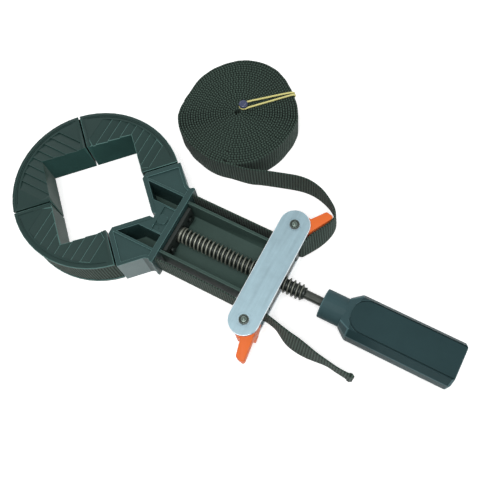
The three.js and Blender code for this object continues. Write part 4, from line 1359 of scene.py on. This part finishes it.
class ClampAddLevers(bpy.types.Operator):
    """Adds the two cam levers, with a line round them under the top, and their pins"""
    bl_idname = "clamp.add_levers"
    bl_label = "Cam levers"

    def execute(self, context):
        reach, half = ARM_ROOM
        under_arm = [(ARM_START, -half), (reach, -half), (reach, half), (ARM_START, half)]
        for side, word, angle in ((1, "left", LEFT_ANGLE), (-1, "right", RIGHT_ANGLE)):
            centre = Vector((PIN_X, side * PIN_Y))
            outline = lever_outline() if side > 0 else mirrored(lever_outline())
            outline = [turned(*p, angle) + centre for p in outline]
            bm = bmesh.new()
            skin(bm, [[bm.verts.new(at(*p, height)) for p in outset(outline, distance)]
                      for height, distance in LEVER_LEVELS])
            lever = piece_from(bm, f"Cam_lever_{word}_moulded", "Lever plastic")
            hole = arc(LEVER_HOLE, 0, FULL_TURN * 35 / 36, 35, centre)
            space = [turned(*p, angle) + centre for p in under_arm]
            carve(lever, [prism("hole", hole, BELOW, ABOVE, "Lever plastic"),
                          prism("space", space, BELOW, ARM_BASE, "Lever plastic")])
            smooth_shaded(lever, 35)
            stands_for(lever, f"cam_lever_{word}", f"lever_{word}")
            pin = turned_piece(f"Lever_pin_{word}_rivet", PIN_PROFILE, PIN_X, side * PIN_Y, "Rivet steel")
            stands_for(pin, f"lever_pin_{word}", "carriage")
        return {"FINISHED"}


# Stage

# The camera's place in millimetres from the ring's centre, its angles in degrees, and the floor in metres.
CAMERA_PLACE = (215.216, -108.980, 447.652)
CAMERA_ANGLES = (19.2904, 3.90554, 27.83979)
FLOOR_SIZE = 3
FLOOR_GAP = 0.00005

# Each lamp has its place and size in metres, its power in watts and its colour.
LAMPS = (
    ("Key light", (0.10, -0.30, 1.15), 0.6, 7.0, (1, 0.995, 0.985)),
    ("Side light", (-0.8, 0.5, 0.6), 0.4, 1.6, (1, 0.985, 0.96)),
    ("Low light", (0.95, -0.15, 0.3), 0.4, 1.2, (0.95, 0.98, 1)),
)

# The world is white to the camera, and lights the object less than it shows.
WORLD_LIGHT = 0.32


class ClampAddStage(bpy.types.Operator):
    """Adds the camera, the floor and the lights"""
    bl_idname = "clamp.add_stage"
    bl_label = "Stage"

    def execute(self, context):
        scene = context.scene
        camera = bpy.data.objects.new("Camera", bpy.data.cameras.new("Camera"))
        camera.data.lens = scene.clamp_stage.lens
        camera.data.sensor_width = 36
        camera.data.clip_start = 0.01
        camera.location = at(*CAMERA_PLACE)
        camera.rotation_euler = Euler([math.radians(v) for v in CAMERA_ANGLES], "XYZ")
        scene.collection.objects.link(camera)
        scene.camera = camera
        scene.view_settings.view_transform = "Standard"

        bm = bmesh.new()
        bmesh.ops.create_grid(bm, x_segments=1, y_segments=1, size=FLOOR_SIZE)
        floor = piece_from(bm, "Floor", "White floor")
        floor.location.z = -FLOOR_GAP

        for name, place, size, power, color in LAMPS:
            lamp = bpy.data.lights.new(name, "AREA")
            lamp.shape = "DISK"
            lamp.size = size
            lamp.energy = power
            lamp.color = color
            light = bpy.data.objects.new(name, lamp)
            light.location = place
            light.rotation_euler = Vector(place).to_track_quat("Z", "Y").to_euler()
            scene.collection.objects.link(light)

        world = bpy.data.worlds.new("Studio")
        scene.world = world
        world.use_nodes = True
        nodes = Nodes(world.node_tree, "Background")
        nodes.put("Color", (1, 1, 1, 1))
        seen = nodes.seen("Is Camera Ray", "Is Glossy Ray", "Is Transmission Ray")
        nodes.put("Strength", nodes.spread(seen, 0, 1, WORLD_LIGHT, 1.0))
        return {"FINISHED"}


# Panel and registration


class CLAMP_PT_pieces(bpy.types.Panel):
    """Lists the band clamp's pieces"""
    bl_label = "Band clamp"
    bl_space_type = "VIEW_3D"
    bl_region_type = "UI"
    bl_category = "Band clamp"

    def draw(self, context):
        for name in SETTINGS:
            settings = getattr(context.scene, name)
            box = self.layout.box()
            for key in settings.__annotations__:
                box.prop(settings, key)
        for operator in PIECES:
            self.layout.operator(operator.bl_idname)


SETTINGS = {
    "clamp_strap": ClampStrapSettings,
    "clamp_plastic": ClampPlasticSettings,
    "clamp_metal": ClampMetalSettings,
    "clamp_stage": ClampStageSettings,
}

PIECES = (ClampAddStage, ClampAddTie, ClampAddBand, ClampAddRun, ClampAddTail, ClampAddRoll, ClampAddButton,
          ClampAddJaws, ClampAddBody, ClampAddBearing, ClampAddSpindle, ClampAddHandle, ClampAddCarriage,
          ClampAddLevers)


def register():
    for kind in (*SETTINGS.values(), *PIECES, CLAMP_PT_pieces):
        bpy.utils.register_class(kind)
    for name, kind in SETTINGS.items():
        setattr(bpy.types.Scene, name, PointerProperty(type=kind))


def unregister():
    for name in SETTINGS:
        delattr(bpy.types.Scene, name)
    for kind in (CLAMP_PT_pieces, *reversed(PIECES), *SETTINGS.values()):
        bpy.utils.unregister_class(kind)


def main():
    register()
    bpy.ops.clamp.add_stage()
    bpy.ops.clamp.add_tie()
    bpy.ops.clamp.add_band()
    bpy.ops.clamp.add_run()
    bpy.ops.clamp.add_tail()
    bpy.ops.clamp.add_roll()
    bpy.ops.clamp.add_button()
    bpy.ops.clamp.add_jaws()
    bpy.ops.clamp.add_body()
    bpy.ops.clamp.add_bearing()
    bpy.ops.clamp.add_spindle()
    bpy.ops.clamp.add_handle()
    bpy.ops.clamp.add_carriage()
    bpy.ops.clamp.add_levers()


if __name__ == "__main__":
    main()
